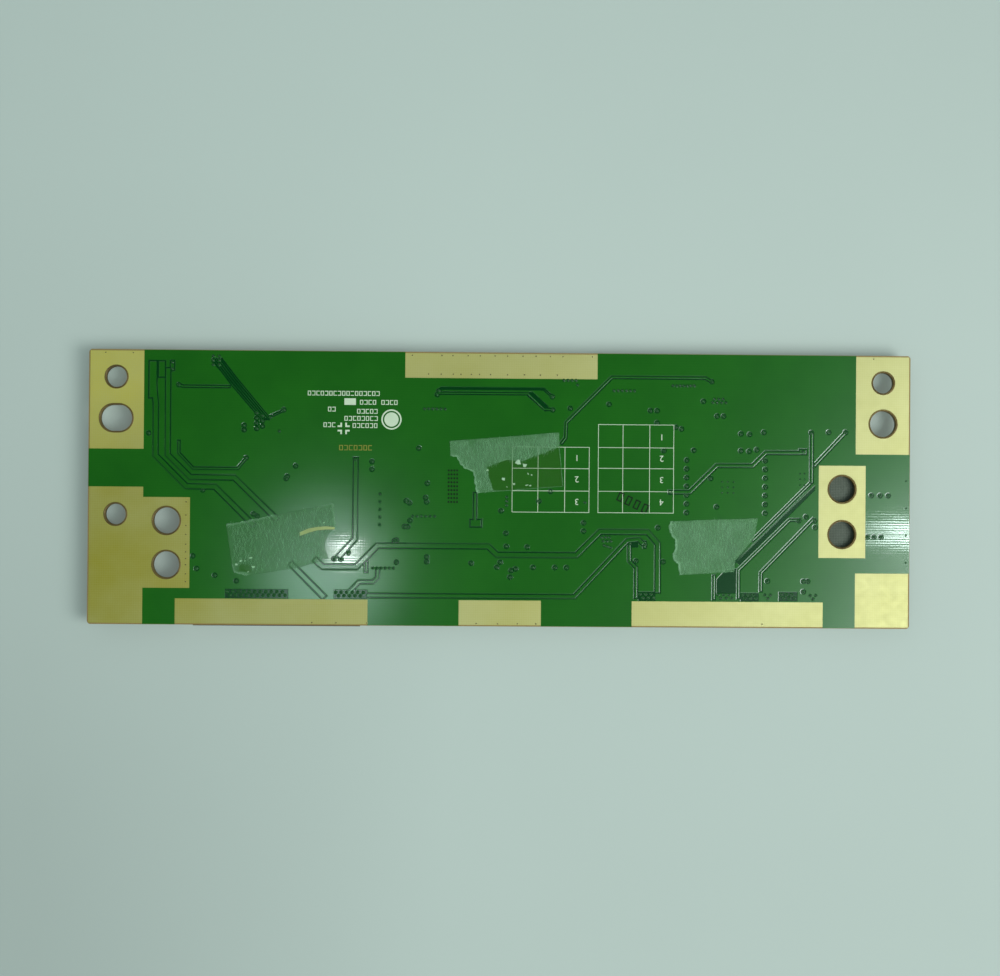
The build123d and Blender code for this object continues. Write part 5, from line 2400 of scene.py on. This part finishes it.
@dataclass
class Gasket:
    """Foam block in conductive cloth, slightly crowned on its free faces.

    Attributes:
        plan: Board that it is stuck under.
        crown: How far its free faces swell.
        rows: Steps along its sides.
    """

    plan: BoardPlan
    crown: float = 0.12
    rows: int = 12

    def build(self) -> None:
        """Make the block."""
        low, high = self.plan.cad("grounding_gasket").boxes()[0]
        work = bmesh.new()
        bmesh.ops.create_cube(work, size=2.0)
        bmesh.ops.subdivide_edges(work, edges=work.edges, cuts=self.rows, use_grid_fill=True)
        middle, half = (low + high) / 2, (high - low) / 2
        for vertex in work.verts:
            u = np.array(vertex.co[:])
            swell = np.array([
                (1 - abs(u[1]) ** 3) * (1 - abs(u[2]) ** 3),
                (1 - abs(u[0]) ** 3) * (1 - abs(u[2]) ** 3),
                (1 - abs(u[0]) ** 4) * (1 - abs(u[1]) ** 4) * (u[2] < 0),
            ])
            core = half - self.crown
            place = middle + u * core + np.sign(u) * swell * self.crown * (np.abs(u) > 0.999)
            if u[2] > 0.999:
                place[2] = high[2] - 0.05
            vertex.co = Vector(place) * MM
        mesh = bpy.data.meshes.new("gasket_block")
        work.to_mesh(mesh)
        work.free()
        piece = linked("gasket_block", mesh)
        smooth(piece)
        finish_piece(piece, FOAM, Slot.FOAM, stands_for=("grounding_gasket",))


# ---- Carried-over solids ----

DRESS: dict[Finish, tuple[str, ...]] = {
    CORE: ("circuit_board",),
    PADS: ("ground_pads",),
    HOUSING: ("output_left_housing", "output_right_housing", "input_housing"),
    LEVER: ("output_left_lever", "output_right_lever"),
    CONTACT: ("output_left_contacts", "output_right_contacts", "input_contacts"),
    SHELL: ("input_shell",),
    FERRITE: ("inductor_cores",),
    WIRE: ("inductor_coils",),
    LID: ("crystal_lid",),
    CAPACITOR: ("crystal_base",),
}


def dress(nodes: dict[str, bpy.types.Object]) -> None:
    """Give every carried-over CAD node its finish.

    Args:
        nodes: CAD nodes by name.
    """
    chosen = {name: finish for finish, names in DRESS.items() for name in names}
    for name, node in nodes.items():
        finish = chosen.get(name, TIN)
        if not node.material_slots:
            node.data.materials.append(finish.material())
        for place in node.material_slots:
            place.material = finish.material()


# ---- Studio ----


@dataclass
class Studio:
    """Pale table, soft lamps and the camera.

    Attributes:
        table: Colour of the table.
        eye: Place of the camera in millimetres.
        turn: Turn of the camera in degrees.
        lens: Focal length.
        lift: Share of the table's tone that the camera sees unlit, as a glow of painted light that
            lifts the table's shadows.
        zenith: Strength of the light from straight above.
        window: Strength of the light from high on the right.
        horizon: Strength of the light from all round.
        room: Strength of the plain room that the camera and low reflections show.
    """

    table: Colour = (0.535, 0.61, 0.572)
    eye: tuple[float, float, float] = (-4.91, -1.69, 295.99)
    turn: tuple[float, float, float] = (0.375, -0.943, 0.431)
    lens: float = 57.6
    lift: float = 0.22
    zenith: float = 0.02
    window: float = 1.7
    horizon: float = 0.34
    room: float = 0.6

    def build(self) -> None:
        """Set up the table, the world, the lamps and the camera."""
        scene = bpy.context.scene
        scene.view_settings.view_transform = "Standard"
        self.floor()
        self.world(scene)
        self.lamp("soft_lamp", (310, -120, 400), (310, 310), 1.83, (0.95, 1.0, 0.97))
        self.lamp("fill_lamp", (-480, 420, 760), (600, 600), 0.35, (0.93, 1.0, 0.98))
        self.lamp("small_lamp_left", (-51.5, -21.7, 296), (22, 8), 0.028, (0.9, 1.0, 0.98))
        self.lamp("haze_lamp_left", (-59, -31, 296), (78, 90), 0.076, (0.7, 1.0, 0.96))
        self.lamp("small_lamp_right", (157.0, -13.3, 296), (60, 8), 0.062, (0.84, 1.0, 0.97))
        self.camera(scene)

    def floor(self) -> None:
        """Lay the table, which is not seen from below."""
        shape = Shape()
        shape.points = [(x, y, -0.02) for x, y in round_loop(0, 0, 1500, 48)]
        shape.faces = [range(48)]
        table = shape.object("table_top")
        material = bpy.data.materials.new("pale_table")
        material.use_nodes = True
        tree = Tree(material.node_tree)
        where = tree.here()
        darker = tuple(0.965 * part for part in self.table)
        mottled = tree.mix(tree.remap(tree.noise(where, 9.0, 5.0), (0.3, 0.7)), self.table, darker)
        # Painted shade: the table's colour darkens towards the left, most of all at the front left,
        # and a little towards the right and the front.
        parts = tree.add("ShaderNodeSeparateXYZ", {0: where}).outputs
        left = tree.remap(parts[0], (-10 * MM, -85 * MM), (0, 0.15))
        near = tree.remap(parts[1], (60 * MM, -60 * MM))
        right = tree.remap(parts[0], (0, 85 * MM), (0, 0.07))
        front = tree.remap(parts[1], (20 * MM, -80 * MM), (0, 0.06))
        share = tree.plus(tree.times(left, near), right, front)
        colour = tree.mix(share, mottled, (0.0, 0.0, 0.0))
        shader = tree.out("ShaderNodeBsdfPrincipled", {"Base Color": colour, "Roughness": 0.75})
        # Painted light: the table glows with its own colour for camera, mirror and transmission
        # rays, which lifts its shadows and the floor seen through the holes.
        shadow_lifting_glow = tree.out("ShaderNodeEmission", {"Color": colour})
        path = tree.add("ShaderNodeLightPath").outputs
        seen = tree.plus(*(path[f"Is {ray} Ray"] for ray in ("Camera", "Glossy", "Transmission")))
        open_below = tree.add("ShaderNodeNewGeometry").outputs["Backfacing"]
        lit = tree.out("ShaderNodeMixShader", {0: tree.times(seen, self.lift), 1: shader, 2: shadow_lifting_glow})
        clear = tree.out("ShaderNodeBsdfTransparent")
        both = tree.out("ShaderNodeMixShader", {0: open_below, 1: lit, 2: clear})
        tree.add("ShaderNodeOutputMaterial", {0: both})
        table.data.materials.append(material)

    def world(self, scene: bpy.types.Scene) -> None:
        """Light the scene softly from all round, and show a plain room to the camera.

        Args:
            scene: Scene to light.
        """
        scene.world = bpy.data.worlds.new("soft_room")
        scene.world.use_nodes = True
        tree = Tree(scene.world.node_tree)
        way = tree.add("ShaderNodeTexCoord").outputs["Generated"]
        parts = tree.add("ShaderNodeSeparateXYZ", {0: way}).outputs
        lean = tree.math("SUBTRACT", parts[0], tree.times(parts[1], 0.6))
        rise = tree.math("POWER", tree.remap(lean, (0.0, 0.345), (0.0, 1.15)), 5.0)
        above = tree.plus(tree.times(rise, self.window), self.zenith)
        share = tree.remap(parts[2], (0.80, 0.96))
        path = tree.add("ShaderNodeLightPath").outputs
        mirrored = tree.plus(path["Is Glossy Ray"], path["Is Transmission Ray"])
        wall = tree.out("ShaderNodeMix", {"Factor": mirrored, 2: self.horizon, 3: self.room})
        around = tree.times(tree.math("SUBTRACT", 1.0, share), wall)
        strength = tree.plus(around, tree.times(above, share))
        values = {"Factor": path["Is Camera Ray"], 2: strength, 3: self.room}
        strength = tree.out("ShaderNodeMix", values)
        sky = tree.out("ShaderNodeBackground", {"Color": (0.76, 1.0, 0.98, 1.0), 1: strength})
        tree.add("ShaderNodeOutputWorld", {0: sky})

    @staticmethod
    def lamp(
        name: str, place: Sequence[float], size: Span, power: float, colour: Colour
    ) -> None:
        """Hang one lamp over the board, a small one fading towards its rim.

        Args:
            name: Name of the lamp.
            place: Its place in millimetres.
            size: Its length and width in millimetres.
            power: Its power.
            colour: Its colour.
        """
        data = bpy.data.lights.new(name, "AREA")
        data.shape, data.energy = "ELLIPSE", power
        data.size, data.size_y = size[0] * MM, size[1] * MM
        data.color = colour
        lamp = linked(name, data)
        lamp.location = Vector(place) * MM
        if size[0] > 100:
            lamp.rotation_euler = (-lamp.location).to_track_quat("-Z", "Y").to_euler()
            return
        data.use_nodes = True
        tree = Tree(data.node_tree)
        where = tree.add("ShaderNodeNewGeometry").outputs["Parametric"]
        off = tree.add("ShaderNodeVectorMath", {0: where, 1: (0.5, 0.5, 0.0)}, operation="DISTANCE")
        inner = tree.remap(tree.math("POWER", off.outputs["Value"], 2.0), (0.25, 0.0))
        fading = tree.out("ShaderNodeEmission", {"Strength": tree.math("POWER", inner, 3.0)})
        tree.add("ShaderNodeOutputLight", {0: fading})

    def camera(self, scene: bpy.types.Scene) -> None:
        """Set up the camera.

        Args:
            scene: Scene that it looks at.
        """
        data = bpy.data.cameras.new("camera")
        data.lens, data.sensor_width = self.lens, 36.0
        data.clip_start, data.clip_end = 0.01, 10.0
        camera = linked("camera", data)
        camera.location = Vector(self.eye) * MM
        camera.rotation_euler = Euler([math.radians(angle) for angle in self.turn])
        scene.camera = camera


def corners(box: tuple[Vector, Vector]) -> list[list[float]]:
    """Corners of a box as plain lists."""
    return [[float(value) for value in corner] for corner in box]


def main() -> None:
    """Build the board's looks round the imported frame."""
    logging.basicConfig(level=logging.INFO, format="%(message)s")
    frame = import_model()
    dress(frame["nodes"])
    plan = BoardPlan(frame["nodes"])
    for part in (
        MaskFaces(plan), Legend(plan), Tapes(plan), Connectors(plan), ComponentSide(plan),
        Gasket(plan), Studio(),
    ):
        part.build()
        LOG.info("%s built", type(part).__name__)


if __name__ == "__main__":
    main()
